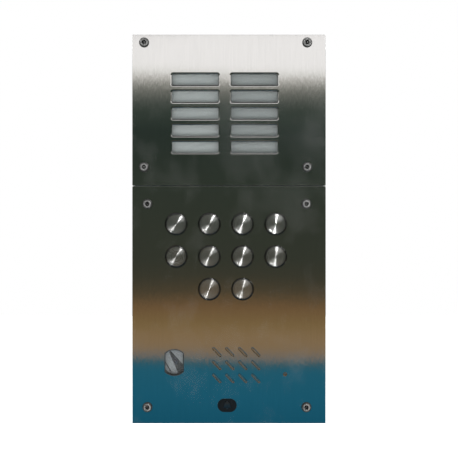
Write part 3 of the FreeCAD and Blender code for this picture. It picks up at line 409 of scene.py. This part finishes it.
def hood_plastic():
    """Grey moulding with a painted shadow round its outline and painted shade in its recesses."""
    material, shader = new_material("hood_grey")
    window_middle = centre_of("camera_pane")
    offset = add_node(material, "ShaderNodeVectorMath", {"operation": "SUBTRACT"})
    link(material, object_coordinates(material), offset.inputs[0])
    offset.inputs[1].default_value = window_middle
    parts = add_node(material, "ShaderNodeSeparateXYZ")
    link(material, offset.outputs["Vector"], parts.inputs["Vector"])
    level = add_node(material, "ShaderNodeCombineXYZ")
    link(material, parts.outputs["X"], level.inputs["X"])
    link(material, parts.outputs["Z"], level.inputs["Z"])
    radius = add_node(material, "ShaderNodeVectorMath", {"operation": "LENGTH"})
    link(material, level.outputs["Vector"], radius.inputs[0])
    depth = blend_numbers(material, "ADD", parts.outputs["Y"], window_middle.y - HOOD_FRONT)
    # painted shadow and shade: 1 on the outline and in the recesses, where the colour turns near black
    dark = between(material, radius.outputs["Value"], 0.0, 1.0, *OUTLINE_SHADOW[0])
    for socket, limits in ((parts.outputs["X"], OUTLINE_SHADOW[1]), (parts.outputs["X"], OUTLINE_SHADOW[2]), (depth, RECESS_SHADE)):
        edge = between(material, socket, 0.0, 1.0, *limits)
        dark = blend_numbers(material, "MAXIMUM", dark, edge)
    link(material, ramp(material, dark, (0.0, (0.235, 0.255, 0.265)), (1.0, (0.014, 0.018, 0.018))),
         shader.inputs["Base Color"])
    skin = noise(material, object_coordinates(material), 1500, 3)
    link(material, between(material, skin, 0.40, 0.50), shader.inputs["Roughness"])
    bump(material, shader, skin, 0.15, 0.00004)
    return material


HOOD_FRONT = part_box("camera_hood")[0][1]
BLACK_MOULDING = moulding("black_moulding", (0.03, 0.03, 0.033), 0.5)
dress(["button_carrier", "key_switches", "speaker_frame", "camera_body", "audio_components"], BLACK_MOULDING)
dress(["camera_hood"], hood_plastic())
dress(["camera_bracket"], moulding("black_powder_coat", (0.05, 0.055, 0.055), 0.6, 700, 0.3))
dress(["speaker_magnet"], moulding("sintered_ferrite", (0.10, 0.10, 0.105), 0.7, 500, 0.3))
dress(["cable_grommet", "microphone_boot"], moulding("black_rubber", (0.022, 0.022, 0.022), 0.75, 800, 0.3))
dress(["directory_gasket", "speech_gasket"], moulding("black_foam", (0.03, 0.03, 0.03), 0.95, 350, 0.8))
dress(["speaker_cone"], moulding("pressed_paper", (0.08, 0.08, 0.085), 0.9, 600, 0.6, 0.2))
dress(["card_holder"], moulding("opal_moulding", (0.72, 0.74, 0.74), 0.4, glow_through=0.3))
dress(["name_cards"], moulding("grey_card", (0.43, 0.47, 0.465), 0.85, 900, 0.3, 0.04))
dress(["backlight_leds"], moulding("lamp_bodies", (0.85, 0.75, 0.35), 0.25))
dress(["terminal_block"], moulding("green_terminals", (0.03, 0.26, 0.12), 0.4))
dress(["volume_rotor"], moulding("white_rotor", (0.80, 0.80, 0.76), 0.4))

# %% [markdown]
# ### Clear sheet and circuit boards
# A clear sheet shows itself by its reflection, so it is mostly see-through with a low alpha and a smooth
# coat of shine. The boards carry copper tracks under green lacquer: a Voronoi cell border, run through a
# ramp, draws them as raised lighter lines.

# %% Clear sheet and boards


def clear_sheet():
    """Polycarbonate that is nearly invisible but for its shine and a few rubbed marks."""
    material, shader = new_material("clear_sheet")
    rubbed = noise(material, object_coordinates(material), 120, 4)
    link(material, ramp(material, rubbed, (0.3, (0.50, 0.54, 0.54)), (0.7, (0.62, 0.66, 0.66))),
         shader.inputs["Base Color"])
    link(material, between(material, rubbed, 0.03, 0.09), shader.inputs["Roughness"])
    shader.inputs["Alpha"].default_value = 0.06
    return material


def circuit_board():
    """Green solder mask with copper tracks showing through."""
    material, shader = new_material("circuit_board")
    cells = add_node(material, "ShaderNodeTexVoronoi", {"feature": "DISTANCE_TO_EDGE"}, Scale=230.0)
    link(material, object_coordinates(material, (1, 0.05, 1)), cells.inputs["Vector"])
    tracks = ramp(material, cells.outputs["Distance"],
                  (0.04, (0.06, 0.30, 0.15)), (0.09, (0.012, 0.12, 0.055)))
    link(material, tracks, shader.inputs["Base Color"])
    edge = between(material, cells.outputs["Distance"], 1.0, 0.0, 0.03, 0.09)
    link(material, between(material, edge, 0.32, 0.24, 0, 1), shader.inputs["Roughness"])
    bump(material, shader, edge, 0.4, 0.00004)
    return material


dress(["window_pane", "camera_pane"], clear_sheet())
dress(["backlight_board", "keypad_board", "audio_board"], circuit_board())

# %% [markdown]
# ## Modelling helpers
# New pieces are modelled in edit mode. A primitive is added, faces are picked by where they are, and
# operators shape them. These helpers pick, extrude, widen and finish, so that each piece below reads as
# its own few steps. Fronts face -Y, as on the panel. A finished piece keeps its place in its mesh, so
# its object stays at the origin.

# %% Modelling helpers


def begin(kind, **settings):
    """Add a primitive with nothing else selected, and open it in edit mode with nothing picked."""
    bpy.ops.object.select_all(action="DESELECT")
    getattr(bpy.ops.mesh, f"primitive_{kind}_add")(**settings)
    bpy.ops.object.mode_set(mode="EDIT")
    bpy.ops.mesh.select_mode(type="FACE")
    bpy.ops.mesh.select_all(action="DESELECT")
    return bpy.context.object


def pick(piece, wanted):
    """Pick the faces that pass a test on their centre and normal in the world, and drop the rest."""
    bpy.ops.object.mode_set(mode="OBJECT")
    turn = piece.matrix_world.to_3x3()
    count = 0
    for face in piece.data.polygons:
        face.select = wanted(piece.matrix_world @ face.center, turn @ face.normal)
        count += face.select
    bpy.ops.object.mode_set(mode="EDIT")
    return count


def pick_end(piece, forward):
    """Pick the flat end that is furthest forward, or furthest back."""
    turn = piece.matrix_world.to_3x3()
    bpy.ops.object.mode_set(mode="OBJECT")
    ends = [(piece.matrix_world @ face.center).y for face in piece.data.polygons
            if abs((turn @ face.normal).y) > 0.99]
    edge = min(ends) if forward else max(ends)
    return pick(piece, lambda centre, normal: abs(centre.y - edge) < 1e-6 and abs(normal.y) > 0.99)


def extrude(along):
    """Draw the picked faces out along Y."""
    bpy.ops.mesh.extrude_region_move(TRANSFORM_OT_translate={"value": (0, along, 0)})


def widen(ratio, centre=(0, 0, 0)):
    """Scale what is picked in X and Z."""
    bpy.ops.transform.resize(value=(ratio, 1, ratio), center_override=centre)


def finish_piece(piece, name, smooth_angle=35):
    """Leave edit mode, put the piece's place into its mesh, and smooth all but its sharp edges."""
    bpy.ops.object.mode_set(mode="OBJECT")
    bpy.ops.object.transform_apply(location=True, rotation=True, scale=True)
    bpy.ops.object.shade_smooth_by_angle(angle=math.radians(smooth_angle))
    piece.name = name
    piece.data.name = name
    piece.select_set(False)
    return piece


def apply_modifiers(piece):
    """Apply every modifier of a piece, in order."""
    bpy.context.view_layer.objects.active = piece
    for modifier in list(piece.modifiers):
        bpy.ops.object.modifier_apply(modifier=modifier.name)


def copy_to(piece, name, place):
    """A copy with its own mesh, moved there in the mesh."""
    twin = piece.copy()
    twin.data = piece.data.copy()
    twin.name = name
    twin.data.name = name
    twin.data.transform(Matrix.Translation(place))
    bpy.context.scene.collection.objects.link(twin)
    return twin


def discard(piece):
    """Delete a pattern piece once its copies are made."""
    bpy.data.objects.remove(piece, do_unlink=True)


def paint(piece, material, body):
    """Give a finished piece its material and its body."""
    piece.data.materials.clear()
    piece.data.materials.append(material)
    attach(piece, body)
    return piece


print("modelling helpers ready")

# %% [markdown]
# ## Push buttons
# A button is one turned piece: a cap that shows, a flange that keeps it behind the plate, and a stem
# behind it. A cylinder gives the cap. Its front is drawn into a sloped rim and a flat face, and its back
# is widened into the flange and narrowed into the stem. It is modelled once round the origin and copied
# to the ten places.

# %% One button

button_size = size_of(BUTTONS[0])
CAP_RADIUS = 10.5 * MM
FLANGE_RADIUS = button_size.x / 2
STEM_RADIUS = 4 * MM
FLANGE_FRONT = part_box("speech_plate")[1][1] + 0.3 * MM
CAP_LENGTH = FLANGE_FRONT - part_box(BUTTONS[0])[0][1]
FLANGE_THICK = 1.2 * MM
FACE_RADIUS = 8.3 * MM
RIM_DEEP = 0.6 * MM
EDGE = 0.1 * MM
FACE_EDGE = 0.12 * MM
STEM_EDGE = 0.3 * MM


def turned_button():
    """A button round the Y axis, with its front face at Y = 0."""
    body = CAP_LENGTH - RIM_DEEP
    piece = begin("cylinder", vertices=96, radius=CAP_RADIUS, depth=body,
                  location=(0, RIM_DEEP + body / 2, 0), rotation=(math.radians(90), 0, 0))
    pick_end(piece, forward=True)
    bpy.ops.mesh.bevel(offset=EDGE, segments=2, affect="EDGES")
    pick_end(piece, forward=True)
    extrude(-RIM_DEEP)
    widen(FACE_RADIUS / (CAP_RADIUS - EDGE))
    bpy.ops.mesh.bevel(offset=FACE_EDGE, segments=2, affect="EDGES")
    pick_end(piece, forward=False)
    extrude(0)
    widen(FLANGE_RADIUS / CAP_RADIUS)
    extrude(FLANGE_THICK)
    bpy.ops.mesh.bevel(offset=EDGE, segments=1, affect="EDGES")
    pick_end(piece, forward=False)
    extrude(0)
    widen(STEM_RADIUS / FLANGE_RADIUS)
    extrude(button_size.y - CAP_LENGTH - FLANGE_THICK)
    bpy.ops.mesh.bevel(offset=STEM_EDGE, segments=2, affect="EDGES")
    return finish_piece(piece, "button_pattern")


def map_from_centre(piece):
    """A UV map that holds each corner's offset from the Y axis in millimetres."""
    layer = piece.data.uv_layers.new(name="from_centre")
    for loop in piece.data.loops:
        place = piece.data.vertices[loop.vertex_index].co
        layer.data[loop.index].uv = (place.x / MM, place.z / MM)


pattern = turned_button()
map_from_centre(pattern)
for name in BUTTONS:
    middle = centre_of(name)
    front = Vector((middle.x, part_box(name)[0][1], middle.z))
    button = paint(copy_to(pattern, name + "_turned", front), SPUN_STEEL, name)
    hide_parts(name)
print("button", len(pattern.data.polygons), "faces, cap", round(CAP_LENGTH / MM, 2), "mm long")
discard(pattern)

# %% [markdown]
# ## Springs
# Each button comes back by a coil spring between its flange and the carrier. A small circle, swept by a
# Screw modifier, winds the wire.

# %% Ten springs

SPRING_TURNS = 4
WIRE = 0.9 * MM
STEPS = 28


def wound_spring(length, radius):
    """A spring round the Y axis from Y = 0 backwards."""
    pitch = (length - WIRE) / SPRING_TURNS
    piece = begin("circle", vertices=10, radius=WIRE / 2, location=(radius, 0, 0), fill_type="NOTHING")
    bpy.ops.object.mode_set(mode="OBJECT")
    bpy.ops.object.transform_apply(location=True, rotation=True, scale=True)
    winding = piece.modifiers.new("winding", "SCREW")
    winding.axis = "Y"
    winding.angle = math.tau
    winding.screw_offset = pitch
    winding.iterations = SPRING_TURNS
    winding.steps = STEPS
    winding.render_steps = STEPS
    apply_modifiers(piece)
    bpy.ops.object.mode_set(mode="EDIT")
    bpy.ops.mesh.select_all(action="SELECT")
    bpy.ops.mesh.remove_doubles(threshold=0.00001)
    bpy.ops.mesh.select_all(action="DESELECT")
    bpy.ops.mesh.select_mode(type="EDGE")
    bpy.ops.mesh.select_non_manifold(extend=False)
    bpy.ops.mesh.edge_face_add()
    bpy.ops.mesh.select_all(action="SELECT")
    bpy.ops.mesh.normals_make_consistent(inside=False)
    piece = finish_piece(piece, "spring_pattern", 60)
    piece.data.transform(Matrix.Translation((0, WIRE / 2, 0)))
    return piece


spring_low, spring_high = (Vector(corner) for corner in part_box(BUTTONS[0] + "_spring"))
spring_radius = (spring_high.x - spring_low.x - WIRE) / 2
pattern = wound_spring(spring_high.y - spring_low.y, spring_radius)
for name in BUTTONS:
    node = name + "_spring"
    middle = centre_of(name)
    front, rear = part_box(node)[0][1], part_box(node)[1][1]
    spring = copy_to(pattern, node + "_coil", (middle.x, front, middle.z))
    spring.data.materials.append(SPRING_WIRE)
    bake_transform(spring)
    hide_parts(node)
print("spring radius", round(spring_radius / MM, 2), "mm,", len(pattern.data.polygons), "faces")
discard(pattern)

# %% [markdown]
# ## Security screws
# The plates are held by domed screws that need a special key: a six-lobed socket with a pin in its
# middle. The head starts as a short cylinder. Its front is drawn forward in rings that follow an arc,
# then inset to the socket, whose ring is waved into six lobes and pushed in, and the pin is drawn out of
# the socket's floor.

# %% Eight screws

SCREW_NODES = ("directory_plate_screws", "speech_plate_screws")
HEAD_RADIUS = 4.75 * MM
HEAD_RIM = 0.5 * MM
HEAD_TALL = PLATE_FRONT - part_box(SCREW_NODES[0])[0][1]
FLAT_RADIUS = 3.0 * MM
SOCKET_RADIUS = 1.95 * MM
LOBE = 0.25 * MM
SOCKET_DEEP = 1.3 * MM
PIN_RADIUS = 0.95 * MM
PIN_EDGE = 0.15 * MM
SHANK_RADIUS = 2.45 * MM
TIP_EDGE = 0.4 * MM
DOME_RINGS = 6


def wave_into_lobes(piece, radius, reach):
    """Turn a ring of corners near a radius into six lobes."""
    bpy.ops.object.mode_set(mode="OBJECT")
    for vertex in piece.data.vertices:
        place = piece.matrix_world @ vertex.co
        far = math.hypot(place.x, place.z)
        if abs(far - radius) < 0.05 * MM and place.y < 0:
            ratio = 1 + reach * math.cos(6 * math.atan2(place.z, place.x)) / far
            vertex.co = piece.matrix_world.inverted() @ Vector((place.x * ratio, place.y, place.z * ratio))
    bpy.ops.object.mode_set(mode="EDIT")


def security_screw(shank_long):
    """A screw round the Y axis with the underside of its head at Y = 0."""
    piece = begin("cylinder", vertices=72, radius=HEAD_RADIUS, depth=HEAD_RIM,
                  location=(0, -HEAD_RIM / 2, 0), rotation=(math.radians(90), 0, 0))
    pick_end(piece, forward=True)
    radius, level = HEAD_RADIUS, 0.0
    for ring in range(1, DOME_RINGS + 1):
        share = ring / DOME_RINGS
        new_level = (HEAD_TALL - HEAD_RIM) * math.sin(share * math.pi / 2)
        new_radius = FLAT_RADIUS + (HEAD_RADIUS - FLAT_RADIUS) * math.cos(share * math.pi / 2)
        extrude(-(new_level - level))
        widen(new_radius / radius)
        radius, level = new_radius, new_level
    extrude(0)
    widen(SOCKET_RADIUS / radius)
    wave_into_lobes(piece, SOCKET_RADIUS, LOBE)
    pick_end(piece, forward=True)
    pick(piece, lambda centre, normal: normal.y < -0.99 and math.hypot(centre.x, centre.z) < 0.1 * MM)
    extrude(SOCKET_DEEP)
    extrude(0)
    widen(PIN_RADIUS / SOCKET_RADIUS)
    extrude(-SOCKET_DEEP)
    bpy.ops.mesh.bevel(offset=PIN_EDGE, segments=2, affect="EDGES")
    pick_end(piece, forward=False)
    extrude(0)
    widen(SHANK_RADIUS / HEAD_RADIUS)
    extrude(shank_long)
    bpy.ops.mesh.bevel(offset=TIP_EDGE, segments=1, affect="EDGES")
    return finish_piece(piece, "screw_pattern", 30)


for node in SCREW_NODES:
    low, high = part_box(node)
    pattern = security_screw(high[1] - PLATE_FRONT)
    map_from_centre(pattern)
    columns = (low[0] + HEAD_RADIUS, high[0] - HEAD_RADIUS)
    corners = [(x, z) for x in columns for z in (low[2] + HEAD_RADIUS, high[2] - HEAD_RADIUS)]
    for number, (x, z) in enumerate(corners, start=1):
        screw = copy_to(pattern, f"{node}_{number}", (x, PLATE_FRONT, z))
        paint(screw, SCREW_FACE, "root")
        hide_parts(node)
    print(node, "faces in one screw:", len(pattern.data.polygons))
    discard(pattern)

# %% [markdown]
# ## Speaker mesh
# Behind the twelve slots lies a fine perforated steel sheet that keeps wires and insects out. Every
# square of a grid is inset and its middle deleted, and a Solidify modifier gives the lattice its
# thickness, so the openings are real.

# %% Mesh behind the grille

MESH_PITCH = 1.15 * MM
MESH_BAR = 0.60 * MM
SHEET_THICK = 0.34 * MM
MESH_CLEAR = 0.2 * MM
mesh_size = size_of("speaker_mesh")
columns, rows = round(mesh_size.x / MESH_PITCH), round(mesh_size.z / MESH_PITCH)
mesh = begin("grid", x_subdivisions=columns, y_subdivisions=rows, size=1, location=centre_of("speaker_mesh"),
             rotation=(math.radians(90), 0, 0))
bpy.ops.object.mode_set(mode="OBJECT")
mesh.scale = (mesh_size.x - 2 * MESH_CLEAR, mesh_size.z - 2 * MESH_CLEAR, 1)
bpy.ops.object.transform_apply(location=True, rotation=True, scale=True)
bpy.ops.object.mode_set(mode="EDIT")
bpy.ops.mesh.select_all(action="SELECT")
bpy.ops.mesh.inset(thickness=MESH_BAR / 2, use_individual=True)
bpy.ops.mesh.delete(type="FACE")
bpy.ops.object.mode_set(mode="OBJECT")
sheet = mesh.modifiers.new("sheet", "SOLIDIFY")
sheet.thickness = SHEET_THICK
sheet.offset = 0.0
apply_modifiers(mesh)
finish_piece(mesh, "speaker_mesh_lattice", 20)
MESH_STEEL = plain_metal("bright_mesh_steel", (0.80, 0.76, 0.70), 0.22)
paint(mesh, MESH_STEEL, "root")
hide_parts("speaker_mesh")
print("mesh", columns, "by", rows, "squares,", len(mesh.data.polygons), "faces")

# %% [markdown]
# ## Camera lens
# The lens is a stepped black barrel with a domed glass front. The barrel is a cylinder whose front is
# inset and pushed in twice. The glass is a flattened sphere.

# %% Barrel and glass

BARREL_BEVEL = 0.3 * MM
BARREL_STEPS = ((4.4 * MM, 0.5 * MM), (3.5 * MM, 0.5 * MM))     # radius, then how far it is pushed in
GLASS_DEPTH = 1.0 * MM
GLASS_BULGE = 0.28

lens_low, lens_high = (Vector(corner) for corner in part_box("camera_lens"))
lens_centre = (lens_low + lens_high) / 2
lens_radius = (lens_high.x - lens_low.x) / 2
lens_long = lens_high.y - lens_low.y
barrel = begin("cylinder", vertices=64, radius=lens_radius, depth=lens_long, location=lens_centre,
               rotation=(math.radians(90), 0, 0))
pick_end(barrel, forward=True)
bpy.ops.mesh.bevel(offset=BARREL_BEVEL, segments=2, affect="EDGES")
pick_end(barrel, forward=True)
radius = lens_radius - BARREL_BEVEL
for new_radius, depth in BARREL_STEPS:
    extrude(0)
    widen(new_radius / radius, lens_centre)
    extrude(depth)
    radius = new_radius
finish_piece(barrel, "lens_barrel")
paint(barrel, BLACK_MOULDING, "camera")
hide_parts("camera_lens")

glass = begin("uv_sphere", segments=48, ring_count=24, radius=radius, location=lens_centre,
              rotation=(math.radians(90), 0, 0))
bpy.ops.mesh.select_all(action="SELECT")
bpy.ops.transform.resize(value=(1, GLASS_BULGE, 1), center_override=lens_centre)
bpy.ops.transform.translate(value=(0, lens_low.y + GLASS_DEPTH - lens_centre.y, 0))
finish_piece(glass, "lens_glass", 60)
coated, coated_shader = new_material("coated_lens")
sheen = noise(coated, object_coordinates(coated), 80, 2)
link(coated, ramp(coated, sheen, (0.3, (0.01, 0.012, 0.03)), (0.7, (0.03, 0.02, 0.05))),
     coated_shader.inputs["Base Color"])
coated_shader.inputs["Roughness"].default_value = 0.03
coated_shader.inputs["Coat Weight"].default_value = 1.0
paint(glass, coated, "camera")
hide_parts("camera_lens")
print("lens radius", round(lens_radius / MM, 2), "mm")

# %% [markdown]
# ## Plaque
# A small dark enamelled plaque sits at the foot of the lower plate. It keeps the CAD shape, and a raised
# bell of blackened steel says what the panel is for. The bell is a disc, squared off and flared below,
# with a clapper and a knob.

# %% Bell on the plaque

ENAMEL = moulding("dark_enamel", (0.004, 0.006, 0.008), 0.6, 300, 0.05, 0.3)
BELL_BLACK = plain_metal("blackened_bell_steel", (0.12, 0.13, 0.14), 0.4)
dress(["badge"], ENAMEL)
badge_low, badge_high = (Vector(corner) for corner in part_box("badge"))
badge_middle = (badge_low + badge_high) / 2
RELIEF = 0.12 * MM
BELL_RADIUS = 2.6 * MM
BELL_RAISED = 0.7 * MM
BELL_FOOT = 2.2 * MM
BELL_SHOULDER = 1.0 * MM
BELL_FLARE = 0.5
BELL_STRETCH = 1.12
bell_front = badge_low.y - RELIEF / 2


def flat_disc(x, z, radius, squash=1.0):
    """A thin raised disc on the plaque, as an ellipse."""
    place = (badge_middle.x + x, bell_front, badge_middle.z + z)
    piece = begin("cylinder", vertices=40, radius=radius, depth=RELIEF, location=place,
                  rotation=(math.radians(90), 0, 0))
    bpy.ops.mesh.select_all(action="SELECT")
    bpy.ops.transform.resize(value=(1, 1, squash), center_override=piece.location)
    pick_end(piece, forward=True)
    bpy.ops.mesh.bevel(offset=0.05 * MM, segments=2, affect="EDGES")
    return piece


bell = flat_disc(0, BELL_RAISED, BELL_RADIUS)
bpy.ops.object.mode_set(mode="OBJECT")
bell_middle = badge_middle.z + BELL_RAISED
bell_foot = badge_middle.z - BELL_FOOT
for vertex in bell.data.vertices:
    place = bell.matrix_world @ vertex.co
    below = bell_middle - place.z
    if below > 0:
        side = place.x - badge_middle.x
        flare = 1 + BELL_FLARE * (below / BELL_RADIUS) ** 2
        reach = min(1.0, abs(side) / BELL_SHOULDER)
        width = math.copysign(BELL_RADIUS * reach, side)
        place.x = badge_middle.x + width * flare
        place.z = max(bell_foot, bell_middle - below * BELL_STRETCH)
        vertex.co = bell.matrix_world.inverted() @ place
bpy.ops.object.mode_set(mode="EDIT")
finish_piece(bell, "plaque_bell")
paint(bell, BELL_BLACK, "root")
for name, x, z, radius, squash in (("plaque_clapper", 0, -3.0 * MM, 1.0 * MM, 0.7),
                                   ("plaque_knob", 0, 3.7 * MM, 0.7 * MM, 1.0)):
    disc = flat_disc(x, z, radius, squash)
    finish_piece(disc, name)
    paint(disc, BELL_BLACK, "root")
print("plaque", [round(value / MM, 1) for value in (badge_high - badge_low)])

# %% [markdown]
# ## The studio
# The panel hangs upright, so it is seen square-on from a metre away. A long lens keeps the sides of its
# windows and buttons out of sight.

# %% Camera

VIEW_DISTANCE = 1.0
VIEW_WIDTH = 0.438
LENS = 80.0
camera_data = bpy.data.cameras.new("square_on")
camera_data.lens = LENS
camera_data.sensor_width = LENS * VIEW_WIDTH / VIEW_DISTANCE
camera = bpy.data.objects.new("square_on", camera_data)
bpy.context.scene.collection.objects.link(camera)
camera.location = (0.0, PLATE_FRONT - VIEW_DISTANCE, 0.0)
camera.rotation_euler = (math.radians(90), 0, 0)
bpy.context.scene.camera = camera
bpy.context.scene.view_settings.view_transform = "Standard"
print("sensor", round(camera_data.sensor_width, 2), "mm")

# %% [markdown]
# ### A pale room
# The background is white to the camera. Other rays see a sky that is dark near the ground and bright
# overhead. Reflections see it dim in front of the panel, so that rims and lips stay dark, and bright
# behind it, so that the zinc box shines. A pale floor throws light up.

# %% Pale room and floor

world = bpy.data.worlds.new("pale_room")
bpy.context.scene.world = world
world.use_nodes = True
sky_tree = world.node_tree
background = sky_tree.nodes["Background"]
direction = sky_tree.nodes.new("ShaderNodeTexCoord")
split = sky_tree.nodes.new("ShaderNodeSeparateXYZ")
sky = sky_tree.nodes.new("ShaderNodeValToRGB")
seen = sky_tree.nodes.new("ShaderNodeLightPath")
choose = sky_tree.nodes.new("ShaderNodeMix")
choose.data_type = "RGBA"
rise = sky_tree.nodes.new("ShaderNodeMapRange")
rise.inputs["From Min"].default_value = -1.0
band = sky.color_ramp
SKY_STOPS = ((0.0, (0.10, 0.10, 0.10)),         # straight down
             (0.45, (0.10, 0.105, 0.10)),
             (0.55, (0.22, 0.23, 0.22)),
             (0.72, (0.9, 0.9, 0.9)),
             (1.0, (1.3, 1.3, 1.3)))            # overhead
MIRRORED_FRONT = 0.06
MIRRORED_BACK = 2.6
while len(band.elements) < len(SKY_STOPS):
    band.elements.new(0.5)
for element, (place, colour) in zip(band.elements, SKY_STOPS):
    element.position = place
    element.color = (*colour, 1.0)
choose.inputs["B"].default_value = (1.0, 1.0, 1.0, 1.0)
mirrored = sky_tree.nodes.new("ShaderNodeMapRange")
for name, value in (("From Min", -0.1), ("From Max", 0.2),
                    ("To Min", MIRRORED_FRONT - 1), ("To Max", MIRRORED_BACK - 1)):
    mirrored.inputs[name].default_value = value
strength = sky_tree.nodes.new("ShaderNodeMath")
strength.operation = "MULTIPLY_ADD"
strength.inputs[2].default_value = 1.0
for source, target in ((direction.outputs["Generated"], split.inputs["Vector"]),
                       (split.outputs["Z"], rise.inputs["Value"]),
                       (rise.outputs["Result"], sky.inputs["Fac"]),
                       (sky.outputs["Color"], choose.inputs["A"]),
                       (seen.outputs["Is Camera Ray"], choose.inputs["Factor"]),
                       (choose.outputs["Result"], background.inputs["Color"]),
                       (split.outputs["Y"], mirrored.inputs["Value"]),
                       (seen.outputs["Is Glossy Ray"], strength.inputs[0]),
                       (mirrored.outputs["Result"], strength.inputs[1]),
                       (strength.outputs["Value"], background.inputs["Strength"])):
    sky_tree.links.new(source, target)

FLOOR_DROP = 0.42
FLOOR_GLOW = 0.55
bpy.ops.object.select_all(action="DESELECT")
bpy.ops.mesh.primitive_plane_add(size=8, location=(0, 0, -FLOOR_DROP))
floor = bpy.context.object
floor.name = "pale_floor"
floor_material, floor_shader = new_material("pale_floor")
floor_shader.inputs["Base Color"].default_value = (0.9, 0.9, 0.9, 1)
floor_shader.inputs["Roughness"].default_value = 0.9
floor_shader.inputs["Emission Color"].default_value = (1, 1, 1, 1)
floor_shader.inputs["Emission Strength"].default_value = FLOOR_GLOW
floor.data.materials.append(floor_material)
floor.visible_glossy = False
print("floor", FLOOR_DROP, "m below the middle of the panel; sky bands:", len(SKY_STOPS))

# %% [markdown]
# ### Lights
# A small lamp high on the right draws the thin bright line across each turned face, and a broader one
# beside it adds the soft sheen. Both fall on the turned pieces alone, since they would wash out the
# plates. Two large lamps behind the panel light its sides.

# %% Lights


def softbox(name, place, target, size, power):
    """A square area light that looks at a target."""
    data = bpy.data.lights.new(name, "AREA")
    data.shape = "SQUARE"
    data.size = size
    data.energy = power
    light = bpy.data.objects.new(name, data)
    bpy.context.scene.collection.objects.link(light)
    light.location = place
    light.rotation_euler = (Vector(target) - Vector(place)).to_track_quat("-Z", "Y").to_euler()
    return light


def light_only(light, pieces):
    """Let a light fall on some pieces and no others."""
    group = bpy.data.collections.new(light.name + "_receivers")
    for piece in pieces:
        group.objects.link(piece)
    light.light_linking.receiver_collection = group


TURNED = [piece for piece in bpy.context.scene.objects
          if piece.name.endswith("_turned") or "_screws_" in piece.name]
key = softbox("small_key", (0.139, PLATE_FRONT - 1.02, 0.322), (0, PLATE_FRONT, 0), 0.012, 2.4)
light_only(key, TURNED)
sheen = softbox("broad_sheen", (0.34, PLATE_FRONT - 1.0, 0.34), (0, PLATE_FRONT, 0), 0.30, 1.4)
light_only(sheen, TURNED)
softbox("left_wash", (-1.2, 0.5, 0.8), (0, 0, 0), 0.9, 14)
softbox("right_wash", (1.2, 0.4, 0.8), (0, 0, 0), 0.9, 14)

# %% [markdown]
# ### What the steel mirrors
# Steel shows what stands in front of it: a bright ceiling above, a dark room at eye level, and below
# that a warm strip of ground and a cool blue one. A tall card with those bands stands in front of the
# panel, and only reflections see it. The bands are placed as shares of the panel's height, from its foot
# to its top.

# %% Reflection card

CARD_GAP = 0.2
CARD_WIDE = 0.70
CARD_MARGIN = 1.02
BAND_SLOPE = 0.03
BAND_DRIFT = 0.006
card_scale = 1 + CARD_GAP / VIEW_DISTANCE
bpy.ops.object.select_all(action="DESELECT")
card_top = PANEL[1].z * card_scale * CARD_MARGIN
card_foot = -FLOOR_DROP + 0.02
bpy.ops.mesh.primitive_plane_add(size=1, location=(0, PLATE_FRONT - CARD_GAP, (card_top + card_foot) / 2),
                                 rotation=(math.radians(90), 0, 0))
card = bpy.context.object
card.name = "reflection_card"
card.scale = (CARD_WIDE, card_top - card_foot, 1)
card_material = bpy.data.materials.new("reflected_room")
card_material.use_nodes = True
card_material.node_tree.nodes.clear()
geometry = add_node(card_material, "ShaderNodeNewGeometry")
split = add_node(card_material, "ShaderNodeSeparateXYZ")
link(card_material, geometry.outputs["Position"], split.inputs["Vector"])
height = add_node(card_material, "ShaderNodeMapRange")
for name, value in (("From Min", PANEL[0].z * card_scale), ("From Max", PANEL[1].z * card_scale)):
    height.inputs[name].default_value = value
link(card_material, split.outputs["Z"], height.inputs["Value"])
slope = blend_numbers(card_material, "MULTIPLY", split.outputs["X"], BAND_SLOPE)
level = blend_numbers(card_material, "ADD", height.outputs["Result"], slope)
drift = noise(card_material, geometry.outputs["Position"], 9, 3)
wander = between(card_material, drift, -BAND_DRIFT, BAND_DRIFT)
level = blend_numbers(card_material, "ADD", level, wander)
bands = ramp(card_material, level,                   # from the foot of the panel to its top
             (0.00, (0.012, 0.124, 0.205)),
             (0.07, (0.016, 0.144, 0.232)),
             (0.14, (0.021, 0.151, 0.232)),
             (0.155, (0.045, 0.145, 0.185)),
             (0.172, (0.240, 0.210, 0.180)),
             (0.195, (0.319, 0.219, 0.123)),
             (0.225, (0.323, 0.214, 0.108)),
             (0.255, (0.276, 0.181, 0.078)),
             (0.296, (0.220, 0.131, 0.060)),
             (0.335, (0.100, 0.078, 0.045)),
             (0.375, (0.062, 0.060, 0.041)),
             (0.42, (0.050, 0.055, 0.040)),
             (0.60, (0.042, 0.053, 0.040)),
             (0.75, (0.030, 0.044, 0.036)),
             (0.80, (0.048, 0.066, 0.053)),
             (0.825, (0.090, 0.105, 0.091)),
             (0.856, (0.220, 0.224, 0.198)),
             (0.872, (0.415, 0.410, 0.374)),
             (0.888, (0.757, 0.735, 0.694)),
             (0.903, (1.11, 1.09, 1.06)),
             (0.92, (1.27, 1.24, 1.235)),
             (1.00, (1.30, 1.27, 1.27)))
glow = add_node(card_material, "ShaderNodeEmission", Strength=1.0)
link(card_material, bands, glow.inputs["Color"])
out = add_node(card_material, "ShaderNodeOutputMaterial")
link(card_material, glow.outputs["Emission"], out.inputs["Surface"])
card.data.materials.append(card_material)
card.visible_camera = False
card.visible_diffuse = False
card.visible_shadow = False
card.visible_transmission = False
print("card", CARD_WIDE, "by", round(card_top - card_foot, 3), "m, stands", CARD_GAP, "m in front")
